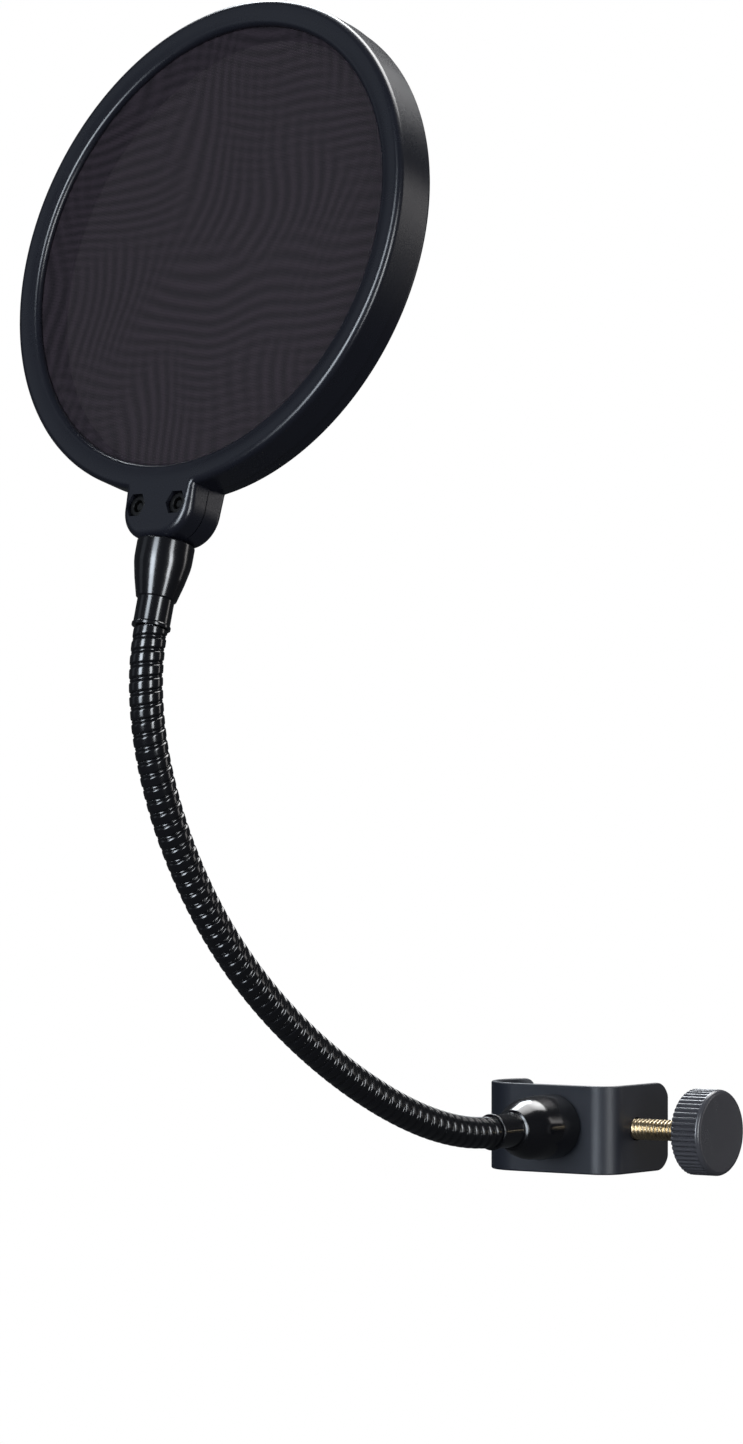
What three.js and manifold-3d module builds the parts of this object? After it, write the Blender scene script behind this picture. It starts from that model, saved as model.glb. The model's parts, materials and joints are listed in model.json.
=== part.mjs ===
// Pop filter for a studio microphone: a round two-screen filter head on a gooseneck arm, held by a
// C-shaped clamp with a thumbscrew. Millimetres, +Z up.
//
// The origin lies on the axis of the stand tube that the clamp grips, at the clamp's mid height.
// The thumbscrew points along +X, and the arm leaves the clamp along -Y.
// "Reach" is the distance from the clamp's outer face along -Y. "Depth" is the distance behind the
// filter head's front face, along the head's own +Y.

import * as THREE from 'three';
import { mergeVertices } from 'three/addons/utils/BufferGeometryUtils.js';
import Module from 'manifold-3d';

const wasm = await Module();
wasm.setup();

// ---------------------------------------------------------------- driving dimensions

const GAP = 0.3; // play left between two pieces that meet inside the head

// Clamp bracket: a bent steel strip, a hook round the tube, a flat web and a leg for the screw.
const STRIP_HEIGHT = 25.4;
const STRIP_THICKNESS = 1.8;
const HOOK_RADIUS = 13.9; // outside
const HOOK_CENTRE_X = 2.8;
const HOOK_WRAP = THREE.MathUtils.degToRad(140); // from the web round to the free end
const LEG_FACE_X = 36.8;
const LEG_END_Y = 16.7;
const BEND_RADIUS = 7; // outside, web to leg
const LEG_CORNER_RADIUS = 5.5;
const WEB_FACE_Y = -HOOK_RADIUS;
const LINER_THICKNESS = 1.2;
const LINER_HEIGHT = 20;

// Thumbscrew, quarter-inch, and its parts.
const TUBE_RADIUS = 7.94; // the five-eighths tube that the clamp is closed on
const SCREW_RADIUS = 3.05;
const SCREW_TIP_RADIUS = 2.3;
const NUT_BORE_RADIUS = 3.175;
const CLAMP_NUT_FLATS = 11.1;
const CLAMP_NUT_LENGTH = 5.5;
const PAD_RADIUS = 5.5;
const PAD_RUBBER_THICKNESS = 1.8;
const PAD_CUP_THICKNESS = 3.4;
const KNOB_BACK_X = 55.8;
const KNOB_LENGTH = 9.9;
const KNOB_RADIUS = 12.3;
const KNOB_RIDGES = 50;
const KNOB_RIDGE_HEIGHT = 0.45;

// Arm: two turned end fittings joined by the gooseneck.
const ARM_X = 17.5;
const ARM_Z = 0.8;
const BASE_RADIUS = 9.3;
const NECK_RADIUS = 4.9;
const LIP_RADIUS = 5.2;
const LOWER_FITTING_LENGTH = 32;
const UPPER_NECK_LENGTH = 8.1;
const UPPER_FITTING_LENGTH = 23.1;
const SOCKET_DEPTH = 7.5; // how far the gooseneck's inner spring goes into each fitting
const LINK_LENGTH = 17.9;
const LINK_TURNS_DEG = [10, 7, 5, 4, 4, 4.5, 5.5, 6.5, 7.5, 8, 10, 14.5, 20];
const LINK_GAP = 1.4; // room between two stretches for the arm to bend
const WINDING_RADIUS = 4.5;
const WINDING_BORE_RADIUS = 3.3;
const SPRING_RADIUS = 3;
const SPRING_BORE_RADIUS = 2.2;

// Filter head, in its own frame: centre at the origin, front towards -Y, lug towards -Z.
const HEAD_TWIST = THREE.MathUtils.degToRad(-7); // how far the head is turned on the arm's end
const HEAD_RADIUS = 69;
const HEAD_DEPTH = 13.2;
const FACE_INNER_RADIUS = 61.8;
const SHELL_WALL = 2;
const SEAM_DEPTH = 8.4;
const REAR_RADIUS = 68.6;
const HOOP_INNER_RADIUS = 60.7;
const SCREEN_RADIUS = 66.4;
const SCREEN_THICKNESS = 0.3;
const LUG_HALF_WIDTH = 12.3;
const LUG_REACH = 82.1; // from the head's centre to the lug's lower end
const LUG_CORNER_RADIUS = 8.8;
const LUG_HALF_DEPTH = 6.2;
const LUG_SCREW_X = 7.3;
const LUG_SCREW_Z = -73;
const LUG_NUT_FLATS = 5.5;
const STUD_RADIUS = 3;
const STUD_COLLAR_RADIUS = 4.4;
const STUD_COLLAR_Z = [-75.2, -73]; // lower and upper face of the collar that keeps the stud in

const TURN_SEGMENTS = 24; // facets round a small turned piece
const HEAD_SEGMENTS = 64; // facets round the head

// ---------------------------------------------------------------- materials

function finish(colour, roughness, metalness) {
  return new THREE.MeshStandardMaterial({ color: colour, roughness, metalness });
}

const powderCoat = finish(0x25272b, 0.5, 0.2);
const glossBlack = finish(0x101012, 0.18, 0.3);
const headPlastic = finish(0x23262c, 0.45, 0);
const screenNylon = finish(0x1c181a, 0.9, 0);
const knobPlastic = finish(0x1f2124, 0.5, 0);
const brass = finish(0xb08d4a, 0.3, 0.9);
const zincSteel = finish(0x8f9296, 0.4, 0.9);
const darkSteel = finish(0x1a1a1b, 0.45, 0.7);
const springSteel = finish(0x55585c, 0.4, 0.9);
const blackRubber = finish(0x161616, 0.85, 0);

// ---------------------------------------------------------------- shape helpers

// Revolves a profile of [radius, height] points round the Y axis. The points run so that the
// material is on the left of the path as it is followed, and a profile off the axis is closed.
function turned(profile, segments = TURN_SEGMENTS) {
  return new THREE.LatheGeometry(profile.map(([radius, height]) => new THREE.Vector2(radius, height)), segments);
}

function closedTurned(profile, segments = TURN_SEGMENTS) {
  return turned([...profile, profile[0]], segments);
}

function extruded(shape, length, curveSegments = 8) {
  return new THREE.ExtrudeGeometry(shape, { depth: length, bevelEnabled: false, curveSegments });
}

function circleShape(radius, boreRadius = 0) {
  const shape = new THREE.Shape().absarc(0, 0, radius, 0, 2 * Math.PI);
  if (boreRadius > 0) {
    shape.holes.push(new THREE.Path().absarc(0, 0, boreRadius, 0, 2 * Math.PI, true));
  }
  return shape;
}

function polygonShape(sides, circumradius) {
  const corners = Array.from({ length: sides }, (_, k) => {
    const angle = (2 * Math.PI * k) / sides;
    return new THREE.Vector2(circumradius * Math.cos(angle), circumradius * Math.sin(angle));
  });
  return new THREE.Shape(corners);
}

function hexShape(acrossFlats, boreRadius = 0) {
  const shape = polygonShape(6, acrossFlats / Math.sqrt(3));
  if (boreRadius > 0) {
    shape.holes.push(new THREE.Path().absarc(0, 0, boreRadius, 0, 2 * Math.PI, true));
  }
  return shape;
}

function toSolid(geometry) {
  const bare = geometry.clone();
  bare.deleteAttribute('normal');
  bare.deleteAttribute('uv');
  const merged = mergeVertices(bare, 1e-4);
  return new wasm.Manifold(new wasm.Mesh({
    numProp: 3,
    vertProperties: new Float32Array(merged.attributes.position.array),
    triVerts: new Uint32Array(merged.index.array),
  }));
}

function toGeometry(solid) {
  const mesh = solid.getMesh();
  const geometry = new THREE.BufferGeometry();
  geometry.setAttribute('position', new THREE.BufferAttribute(mesh.vertProperties, 3));
  geometry.setIndex(new THREE.BufferAttribute(mesh.triVerts, 1));
  geometry.computeVertexNormals();
  return geometry;
}

function piece(name, geometry, material) {
  const mesh = new THREE.Mesh(geometry, material);
  mesh.name = name;
  return mesh;
}

// ---------------------------------------------------------------- clamp

function bracketOutline() {
  const inner = HOOK_RADIUS - STRIP_THICKNESS;
  const webStart = -Math.PI / 2;
  const freeEnd = webStart - HOOK_WRAP;
  const bendX = LEG_FACE_X - BEND_RADIUS;
  const bendY = WEB_FACE_Y + BEND_RADIUS;
  const outline = new THREE.Shape();
  outline.absarc(HOOK_CENTRE_X, 0, HOOK_RADIUS, freeEnd, webStart, false);
  outline.absarc(bendX, bendY, BEND_RADIUS, -Math.PI / 2, 0, false);
  outline.lineTo(LEG_FACE_X, LEG_END_Y);
  outline.lineTo(LEG_FACE_X - STRIP_THICKNESS, LEG_END_Y);
  outline.absarc(bendX, bendY, BEND_RADIUS - STRIP_THICKNESS, 0, -Math.PI / 2, true);
  outline.absarc(HOOK_CENTRE_X, 0, inner, webStart, freeEnd, true);
  return outline;
}

// The strip seen along X, with the two free corners of the leg rounded.
function bracketSideOutline() {
  const half = STRIP_HEIGHT / 2;
  const start = WEB_FACE_Y - 1;
  const outline = new THREE.Shape();
  outline.moveTo(start, -half);
  outline.lineTo(LEG_END_Y - LEG_CORNER_RADIUS, -half);
  outline.absarc(LEG_END_Y - LEG_CORNER_RADIUS, -half + LEG_CORNER_RADIUS, LEG_CORNER_RADIUS, -Math.PI / 2, 0);
  outline.absarc(LEG_END_Y - LEG_CORNER_RADIUS, half - LEG_CORNER_RADIUS, LEG_CORNER_RADIUS, 0, Math.PI / 2);
  outline.lineTo(start, half);
  return outline;
}

function clampBracket() {
  const strip = extruded(bracketOutline(), STRIP_HEIGHT, 14);
  strip.translate(0, 0, -STRIP_HEIGHT / 2);
  const reach = 2 * (HOOK_RADIUS + LEG_FACE_X);
  const side = extruded(bracketSideOutline(), reach, 5);
  side.rotateX(Math.PI / 2); // the outline's second axis now points up
  side.rotateZ(Math.PI / 2); // and its first axis along Y
  side.translate(-reach / 2, 0, 0);
  const screwHole = new THREE.CylinderGeometry(3.6, 3.6, 8, TURN_SEGMENTS);
  screwHole.rotateZ(Math.PI / 2);
  screwHole.translate(LEG_FACE_X, 0, 0);
  const armHole = new THREE.CylinderGeometry(2.8, 2.8, 8, 16);
  armHole.translate(ARM_X, WEB_FACE_Y, ARM_Z);
  const solid = toSolid(strip).intersect(toSolid(side)).subtract(toSolid(screwHole)).subtract(toSolid(armHole));
  return piece('clamp_bracket', toGeometry(solid), powderCoat);
}

function jawLiner() {
  const outer = HOOK_RADIUS - STRIP_THICKNESS - 0.02;
  const start = -Math.PI / 2 - 0.12;
  const end = -Math.PI / 2 - HOOK_WRAP + 0.06;
  const outline = new THREE.Shape();
  outline.absarc(HOOK_CENTRE_X, 0, outer, end, start, false);
  outline.absarc(HOOK_CENTRE_X, 0, outer - LINER_THICKNESS, start, end, true);
  const liner = extruded(outline, LINER_HEIGHT, 14);
  liner.translate(0, 0, -LINER_HEIGHT / 2);
  return piece('jaw_liner', liner, blackRubber);
}

function clampNut() {
  const nut = extruded(hexShape(CLAMP_NUT_FLATS, NUT_BORE_RADIUS), CLAMP_NUT_LENGTH, TURN_SEGMENTS / 2);
  nut.rotateY(Math.PI / 2);
  nut.translate(LEG_FACE_X - STRIP_THICKNESS - CLAMP_NUT_LENGTH, 0, 0);
  return piece('clamp_nut', nut, darkSteel);
}

// The screw's tip turns in the pad's cup, and its other end is moulded into the knob.
function clampScrew() {
  const cupBack = TUBE_RADIUS + PAD_RUBBER_THICKNESS + PAD_CUP_THICKNESS;
  const tip = cupBack - 2.2;
  const shoulder = cupBack + 0.4;
  const end = KNOB_BACK_X + 5.5;
  const profile = [
    [0, tip], [SCREW_TIP_RADIUS - 0.5, tip], [SCREW_TIP_RADIUS, tip + 0.5], [SCREW_TIP_RADIUS, shoulder],
    [SCREW_RADIUS, shoulder + 0.6], [SCREW_RADIUS, end], [0, end],
  ];
  const screw = turned(profile);
  screw.rotateZ(-Math.PI / 2);
  return piece('clamp_screw', screw, brass);
}

function padCup() {
  const face = TUBE_RADIUS + PAD_RUBBER_THICKNESS;
  const back = face + PAD_CUP_THICKNESS;
  const socket = SCREW_TIP_RADIUS + 0.15;
  const profile = [
    [0, face], [PAD_RADIUS, face], [PAD_RADIUS, face + 1.6], [socket + 1.1, back],
    [socket, back], [socket, back - 2.5], [0, back - 2.5],
  ];
  const cup = turned(profile);
  cup.rotateZ(-Math.PI / 2);
  return piece('swivel_pad', cup, darkSteel);
}

function padRubber() {
  const front = TUBE_RADIUS;
  const back = front + PAD_RUBBER_THICKNESS;
  const rubber = turned([[0, front], [PAD_RADIUS - 0.7, front], [PAD_RADIUS - 0.3, front + 0.4],
    [PAD_RADIUS - 0.3, back], [0, back]]);
  rubber.rotateZ(-Math.PI / 2);
  return piece('pad_rubber', rubber, blackRubber);
}

// A ridged drum: the rim's radius rises and falls once for each ridge.
function knobOutline() {
  const perRidge = 4;
  const count = KNOB_RIDGES * perRidge;
  const points = Array.from({ length: count }, (_, k) => {
    const angle = (2 * Math.PI * k) / count;
    const lift = KNOB_RIDGE_HEIGHT * (k % perRidge < perRidge / 2 ? 1 : 0);
    const radius = KNOB_RADIUS - KNOB_RIDGE_HEIGHT + lift;
    return new THREE.Vector2(radius * Math.cos(angle), radius * Math.sin(angle));
  });
  return new THREE.Shape(points);
}

function knob() {
  const body = extruded(knobOutline(), KNOB_LENGTH);
  body.rotateY(Math.PI / 2);
  body.translate(KNOB_BACK_X, 0, 0);
  const bore = new THREE.CylinderGeometry(SCREW_RADIUS + 0.1, SCREW_RADIUS + 0.1, 12, TURN_SEGMENTS);
  bore.rotateZ(Math.PI / 2);
  bore.translate(KNOB_BACK_X - 0.3, 0, 0);
  return piece('thumb_knob', toGeometry(toSolid(body).subtract(toSolid(bore))), knobPlastic);
}

// ---------------------------------------------------------------- arm

// Position and heading after a distance along the free gooseneck, in the arm's upright plane.
// Every link is an arc of one length, and each turns the heading by its own angle.
function armState(distance) {
  let heading = 0;
  let reach = LOWER_FITTING_LENGTH;
  let rise = 0;
  let left = Math.max(distance, 0);
  for (const turnDeg of LINK_TURNS_DEG) {
    const length = Math.min(left, LINK_LENGTH);
    const curvature = THREE.MathUtils.degToRad(turnDeg) / LINK_LENGTH;
    const next = heading + curvature * length;
    reach += (Math.sin(next) - Math.sin(heading)) / curvature;
    rise += (Math.cos(heading) - Math.cos(next)) / curvature;
    heading = next;
    left -= length;
  }
  const straight = left + Math.min(distance, 0);
  reach += straight * Math.cos(heading);
  rise += straight * Math.sin(heading);
  return { point: new THREE.Vector3(ARM_X, WEB_FACE_Y - reach, ARM_Z + rise), heading };
}

class ArmStretch extends THREE.Curve {
  constructor(from, to) {
    super();
    this.from = from;
    this.to = to;
  }

  getPoint(t) {
    return armState(this.from + (this.to - this.from) * t).point;
  }
}

function armTube(from, to, radius, boreRadius, sides, steps) {
  return new THREE.ExtrudeGeometry(circleShape(radius, boreRadius), {
    steps,
    curveSegments: sides / 2,
    bevelEnabled: false,
    extrudePath: new ArmStretch(from, to),
  });
}

function gooseneck() {
  const count = LINK_TURNS_DEG.length;
  const pieces = [];
  for (let k = 0; k < count; k += 1) {
    const number = String(k + 1).padStart(2, '0');
    const first = k === 0;
    const last = k === count - 1;
    const from = k * LINK_LENGTH + (first ? GAP : LINK_GAP / 2);
    const to = (k + 1) * LINK_LENGTH - (last ? GAP : LINK_GAP / 2);
    const springFrom = first ? -SOCKET_DEPTH : from;
    const springTo = last ? to + SOCKET_DEPTH : to;
    pieces.push(piece(`outer_winding_${number}`,
      armTube(from, to, WINDING_RADIUS, WINDING_BORE_RADIUS, 12, 2), glossBlack));
    pieces.push(piece(`inner_spring_${number}`,
      armTube(springFrom, springTo, SPRING_RADIUS, SPRING_BORE_RADIUS, 8, first || last ? 5 : 2), springSteel));
  }
  return pieces;
}

// Heights run from the clamp's face outwards.
function lowerFitting() {
  const neckStart = 21.5;
  const end = LOWER_FITTING_LENGTH;
  const socket = SPRING_RADIUS + GAP;
  const profile = [
    [0, 10], [2.6, 10], [2.6, 0], [BASE_RADIUS - 0.4, 0], [BASE_RADIUS, 0.5], [BASE_RADIUS, 8], [9, 12.7],
    [8.2, 16], [7, 19], [5.6, neckStart], [NECK_RADIUS, neckStart + 0.3], [NECK_RADIUS, end - 1.2],
    [LIP_RADIUS, end - 0.9], [LIP_RADIUS, end - 0.1], [socket, end - 0.1], [socket, end - SOCKET_DEPTH - 1],
    [0, end - SOCKET_DEPTH - 1],
  ];
  const fitting = piece('lower_arm_fitting', turned(profile), glossBlack);
  fitting.rotation.x = Math.PI;
  fitting.position.set(ARM_X, WEB_FACE_Y, ARM_Z);
  return fitting;
}

// Heights run from the gooseneck's end upwards. The stud and its collar sit inside the head's lug.
function upperFitting() {
  const bellStart = UPPER_NECK_LENGTH;
  const top = UPPER_FITTING_LENGTH;
  const socket = SPRING_RADIUS + GAP;
  const collar = STUD_COLLAR_Z.map((z) => top + GAP + LUG_REACH + z);
  const profile = [
    [0, SOCKET_DEPTH + 1], [socket, SOCKET_DEPTH + 1], [socket, 0.1], [LIP_RADIUS, 0.1], [LIP_RADIUS, 0.9],
    [NECK_RADIUS, 1.2], [NECK_RADIUS, bellStart], [5.3, bellStart + 0.1], [5.9, 10.5], [6.7, 13.1],
    [7.3, 15.8], [7.6, 18.1], [7.7, 20.5], [7.7, top - 0.3], [7.4, top], [STUD_RADIUS, top],
    [STUD_RADIUS, collar[0]], [STUD_COLLAR_RADIUS, collar[0]], [STUD_COLLAR_RADIUS, collar[1]], [0, collar[1]],
  ];
  const fitting = turned(profile);
  fitting.rotateX(Math.PI / 2);
  return piece('upper_arm_fitting', fitting, glossBlack);
}

function armFixingScrew() {
  const webInside = WEB_FACE_Y + STRIP_THICKNESS;
  const washerTop = webInside + 1;
  const profile = [
    [0, WEB_FACE_Y - 8.5], [2.3, WEB_FACE_Y - 8.5], [2.3, washerTop], [4.6, washerTop],
    [4.6, washerTop + 1.6], [3.6, washerTop + 2.4], [0, washerTop + 2.4],
  ];
  const screw = piece('arm_fixing_screw', turned(profile), darkSteel);
  screw.position.set(ARM_X, 0, ARM_Z);
  return screw;
}

function armLockWasher() {
  const washer = extruded(circleShape(4.4, 2.7), 1, 12);
  washer.rotateX(-Math.PI / 2);
  washer.translate(ARM_X, WEB_FACE_Y + STRIP_THICKNESS, ARM_Z);
  return piece('arm_lock_washer', washer, darkSteel);
}

// ---------------------------------------------------------------- filter head

// Heights are depths behind the head's middle plane, so the front face is at a negative height.
const FRONT = -HEAD_DEPTH / 2;
const REAR = HEAD_DEPTH / 2;
const SEAM = FRONT + SEAM_DEPTH;
const SHELL_BORE = HEAD_RADIUS - SHELL_WALL;
const FLANGE_BACK = FRONT + 2.2;
const FRONT_SCREEN = FLANGE_BACK + GAP;
const REAR_FLANGE = REAR - 1.6;
const REAR_SCREEN = REAR_FLANGE - GAP - SCREEN_THICKNESS;

// The lug seen from behind: straight sides from the rim down, and two round corners at its end.
function lugOutline(grow = 0) {
  const half = LUG_HALF_WIDTH + grow;
  const corner = LUG_CORNER_RADIUS + grow;
  const low = -LUG_REACH - grow;
  const high = -Math.sqrt((SHELL_BORE + 0.4) ** 2 - LUG_HALF_WIDTH ** 2);
  const outline = new THREE.Shape();
  outline.moveTo(half, high);
  outline.lineTo(half, low + corner);
  outline.absarc(half - corner, low + corner, corner, 0, -Math.PI / 2, true);
  outline.absarc(-half + corner, low + corner, corner, -Math.PI / 2, -Math.PI, true);
  outline.lineTo(-half, high);
  outline.absarc(0, 0, Math.hypot(half, high), Math.atan2(high, -half), Math.atan2(high, half), false);
  return outline;
}

// One half of the lug, a slab between two depths.
function lugHalf(from, to) {
  const slab = extruded(lugOutline(), to - from, 6);
  slab.rotateX(Math.PI / 2);
  slab.translate(0, to, 0);
  return toSolid(slab);
}

// The space that the stud, its collar and the two screws need inside the lug.
function lugCavity(screwRadius) {
  const [collarLow, collarHigh] = STUD_COLLAR_Z;
  const bore = turned([[0, -LUG_REACH - 2], [STUD_RADIUS + GAP, -LUG_REACH - 2], [STUD_RADIUS + GAP, collarLow - GAP],
    [STUD_COLLAR_RADIUS + GAP, collarLow - GAP], [STUD_COLLAR_RADIUS + GAP, collarHigh + GAP],
    [0, collarHigh + GAP]], 16);
  bore.rotateX(Math.PI / 2);
  const space = [toSolid(bore)];
  for (const side of [-1, 1]) {
    const hole = new THREE.CylinderGeometry(screwRadius, screwRadius, 3 * HEAD_DEPTH, 12);
    hole.translate(side * LUG_SCREW_X, 0, LUG_SCREW_Z);
    space.push(toSolid(hole));
  }
  return space;
}

function withoutAll(solid, cuts) {
  return cuts.reduce((left, cut) => left.subtract(cut), solid);
}

// Pockets open at the front for the nuts.
function nutPockets() {
  return [-1, 1].map((side) => {
    const pocket = extruded(hexShape(LUG_NUT_FLATS + 2 * GAP), 4.6);
    pocket.rotateX(Math.PI / 2);
    pocket.translate(side * LUG_SCREW_X, FRONT + 3.6, LUG_SCREW_Z);
    return toSolid(pocket);
  });
}

// Round counterbores open at the rear for the screw heads.
function headPockets() {
  return [-1, 1].map((side) => {
    const pocket = new THREE.CylinderGeometry(3.1, 3.1, 5, 16);
    pocket.translate(side * LUG_SCREW_X, REAR, LUG_SCREW_Z);
    return toSolid(pocket);
  });
}

function frontShell() {
  const ring = closedTurned([
    [FACE_INNER_RADIUS, FLANGE_BACK], [FACE_INNER_RADIUS, FRONT + 1.1], [FACE_INNER_RADIUS + 0.8, FRONT + 0.3],
    [66.8, FRONT], [68.3, FRONT + 0.5], [HEAD_RADIUS, FRONT + 1.8], [HEAD_RADIUS, SEAM], [SHELL_BORE, SEAM],
    [SHELL_BORE, FLANGE_BACK],
  ], HEAD_SEGMENTS);
  const bore = new THREE.CylinderGeometry(SHELL_BORE, SHELL_BORE, 3 * HEAD_DEPTH, HEAD_SEGMENTS);
  const lug = lugHalf(-LUG_HALF_DEPTH, -GAP / 2).subtract(toSolid(bore));
  const solid = withoutAll(toSolid(ring).add(lug), [...lugCavity(1.6), ...nutPockets()]);
  return piece('front_ring_shell', toGeometry(solid), headPlastic);
}

function rearShell() {
  const inner = SHELL_BORE - 0.1;
  const ring = closedTurned([
    [inner, REAR_FLANGE], [inner, SEAM + GAP], [REAR_RADIUS, SEAM + GAP], [REAR_RADIUS, REAR - 1.4],
    [REAR_RADIUS - 1.2, REAR], [FACE_INNER_RADIUS, REAR], [FACE_INNER_RADIUS, REAR_FLANGE],
  ], HEAD_SEGMENTS);
  const frontSpace = new THREE.CylinderGeometry(HEAD_RADIUS + GAP, HEAD_RADIUS + GAP, HEAD_DEPTH, HEAD_SEGMENTS);
  frontSpace.translate(0, SEAM + GAP - HEAD_DEPTH / 2, 0);
  const bore = new THREE.CylinderGeometry(inner, inner, 3 * HEAD_DEPTH, HEAD_SEGMENTS);
  const lug = lugHalf(GAP / 2, LUG_HALF_DEPTH).subtract(toSolid(frontSpace)).subtract(toSolid(bore));
  const solid = withoutAll(toSolid(ring).add(lug), [...lugCavity(1.6), ...headPockets()]);
  return piece('rear_ring_shell', toGeometry(solid), headPlastic);
}

// A channel-shaped hoop that keeps the two screens apart and presses them against the shells.
function spacerHoop() {
  const low = FRONT_SCREEN + SCREEN_THICKNESS + GAP;
  const high = REAR_SCREEN - GAP;
  const web = HOOP_INNER_RADIUS + 1.6;
  const hoop = closedTurned([
    [HOOP_INNER_RADIUS, low], [SCREEN_RADIUS, low], [SCREEN_RADIUS, low + 1.2], [web, low + 1.2],
    [web, high - 1.2], [SCREEN_RADIUS, high - 1.2], [SCREEN_RADIUS, high], [HOOP_INNER_RADIUS, high],
  ], HEAD_SEGMENTS);
  return piece('screen_spacer_hoop', hoop, headPlastic);
}

function screen(name, front) {
  const disc = turned([[0, front], [SCREEN_RADIUS, front], [SCREEN_RADIUS, front + SCREEN_THICKNESS],
    [0, front + SCREEN_THICKNESS]], HEAD_SEGMENTS);
  return piece(name, disc, screenNylon);
}

function lugNut(name, side) {
  const nut = extruded(hexShape(LUG_NUT_FLATS, 1.6), 2.4, 6);
  nut.rotateX(Math.PI / 2);
  nut.translate(side * LUG_SCREW_X, FRONT + 3.6 - GAP, LUG_SCREW_Z);
  return piece(name, nut, darkSteel);
}

function lugScrew(name, side) {
  const seat = REAR - 2.5 + GAP;
  const profile = [
    [0, FRONT + 1.6], [1.3, FRONT + 1.6], [1.3, seat], [2.75, seat], [2.75, seat + 1.4], [2, seat + 2], [0, seat + 2],
  ];
  const screw = turned(profile, 12);
  screw.translate(side * LUG_SCREW_X, 0, LUG_SCREW_Z);
  return piece(name, screw, darkSteel);
}

function filterHead() {
  const head = new THREE.Group();
  head.add(
    frontShell(),
    rearShell(),
    screen('front_screen', FRONT_SCREEN),
    screen('rear_screen', REAR_SCREEN),
    spacerHoop(),
    lugNut('lug_nut_left', -1),
    lugNut('lug_nut_right', 1),
    lugScrew('lug_screw_left', -1),
    lugScrew('lug_screw_right', 1),
  );
  head.position.z = UPPER_FITTING_LENGTH + GAP + LUG_REACH;
  head.rotation.z = HEAD_TWIST;
  return head;
}

// ---------------------------------------------------------------- the whole object

const popFilter = new THREE.Group();
popFilter.add(
  clampBracket(),
  jawLiner(),
  clampNut(),
  clampScrew(),
  padCup(),
  padRubber(),
  knob(),
  armFixingScrew(),
  armLockWasher(),
  lowerFitting(),
  ...gooseneck(),
);

// The arm's far end carries its fitting and the head in a frame whose +Z is the arm's last heading.
const armEnd = armState(LINK_LENGTH * LINK_TURNS_DEG.length);
const endFrame = new THREE.Group();
endFrame.position.copy(armEnd.point);
endFrame.rotation.x = Math.PI / 2 - armEnd.heading;
endFrame.add(upperFitting(), filterHead());
popFilter.add(endFrame);

export default popFilter;
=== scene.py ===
"""Pop filter: finished surfaces, finishes and a plain studio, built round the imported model.

Metres, +Z up. The origin is on the axis of the stand tube that the clamp grips, at the clamp's
mid height. The thumbscrew points along +X and the arm leaves the clamp along -Y.
"""

import json
import logging
import math
from dataclasses import dataclass
from enum import Enum
from functools import cache
from typing import Sequence, Union

import bpy
import numpy as np
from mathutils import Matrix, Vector

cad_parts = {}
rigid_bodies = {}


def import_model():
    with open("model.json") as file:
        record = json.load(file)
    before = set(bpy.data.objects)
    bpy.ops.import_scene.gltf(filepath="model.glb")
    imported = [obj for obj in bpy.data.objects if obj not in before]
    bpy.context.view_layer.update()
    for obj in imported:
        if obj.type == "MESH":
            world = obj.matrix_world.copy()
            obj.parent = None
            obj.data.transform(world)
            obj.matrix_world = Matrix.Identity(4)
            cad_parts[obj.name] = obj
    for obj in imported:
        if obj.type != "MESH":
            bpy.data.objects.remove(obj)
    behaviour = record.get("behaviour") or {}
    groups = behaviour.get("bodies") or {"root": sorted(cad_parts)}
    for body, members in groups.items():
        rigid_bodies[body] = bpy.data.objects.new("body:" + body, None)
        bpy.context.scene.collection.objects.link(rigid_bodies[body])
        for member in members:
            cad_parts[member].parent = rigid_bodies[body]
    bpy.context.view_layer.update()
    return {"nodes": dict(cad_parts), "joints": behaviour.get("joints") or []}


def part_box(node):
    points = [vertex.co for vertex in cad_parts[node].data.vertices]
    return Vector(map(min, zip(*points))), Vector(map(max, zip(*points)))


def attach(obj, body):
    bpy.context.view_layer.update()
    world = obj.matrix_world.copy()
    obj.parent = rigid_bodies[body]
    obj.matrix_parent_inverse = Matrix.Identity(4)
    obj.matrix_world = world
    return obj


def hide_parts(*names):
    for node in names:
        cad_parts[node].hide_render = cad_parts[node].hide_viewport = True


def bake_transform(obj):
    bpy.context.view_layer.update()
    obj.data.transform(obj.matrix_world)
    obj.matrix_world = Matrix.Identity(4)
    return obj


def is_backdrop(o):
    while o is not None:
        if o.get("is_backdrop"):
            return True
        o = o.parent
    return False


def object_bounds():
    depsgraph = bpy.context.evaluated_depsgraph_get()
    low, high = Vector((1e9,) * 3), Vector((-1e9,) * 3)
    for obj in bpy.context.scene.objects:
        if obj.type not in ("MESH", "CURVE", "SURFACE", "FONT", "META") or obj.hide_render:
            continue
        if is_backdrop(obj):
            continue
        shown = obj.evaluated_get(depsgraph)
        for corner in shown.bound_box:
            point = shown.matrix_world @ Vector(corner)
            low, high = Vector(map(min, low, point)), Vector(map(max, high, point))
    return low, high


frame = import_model()

log = logging.getLogger("pop_filter")

Array = np.ndarray
Corner = tuple[float, float, float]
Colour = tuple[float, float, float]
TAU = 2 * math.pi
SHARP = math.radians(38)  # edges with a steeper turn than this shade sharp


# ------------------------------------------------------------------ surfaces


class Ends(Enum):
    """How a skin of rings finishes."""

    CAPPED = "capped"
    LOOPED = "looped"
    OPEN = "open"


def unit(vector: Sequence[float]) -> Array:
    """Returns the vector scaled to a length of one."""
    v = np.asarray(vector, float)
    return v / np.linalg.norm(v)


@dataclass(frozen=True)
class Placement:
    """A local frame: where its origin is, and its three axes as rows, in the row frame."""

    origin: Array
    basis: Array

    def world(self, local: Array) -> Array:
        """Returns local points, with any leading dimensions, as points of the row frame."""
        return self.origin + local @ self.basis


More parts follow.
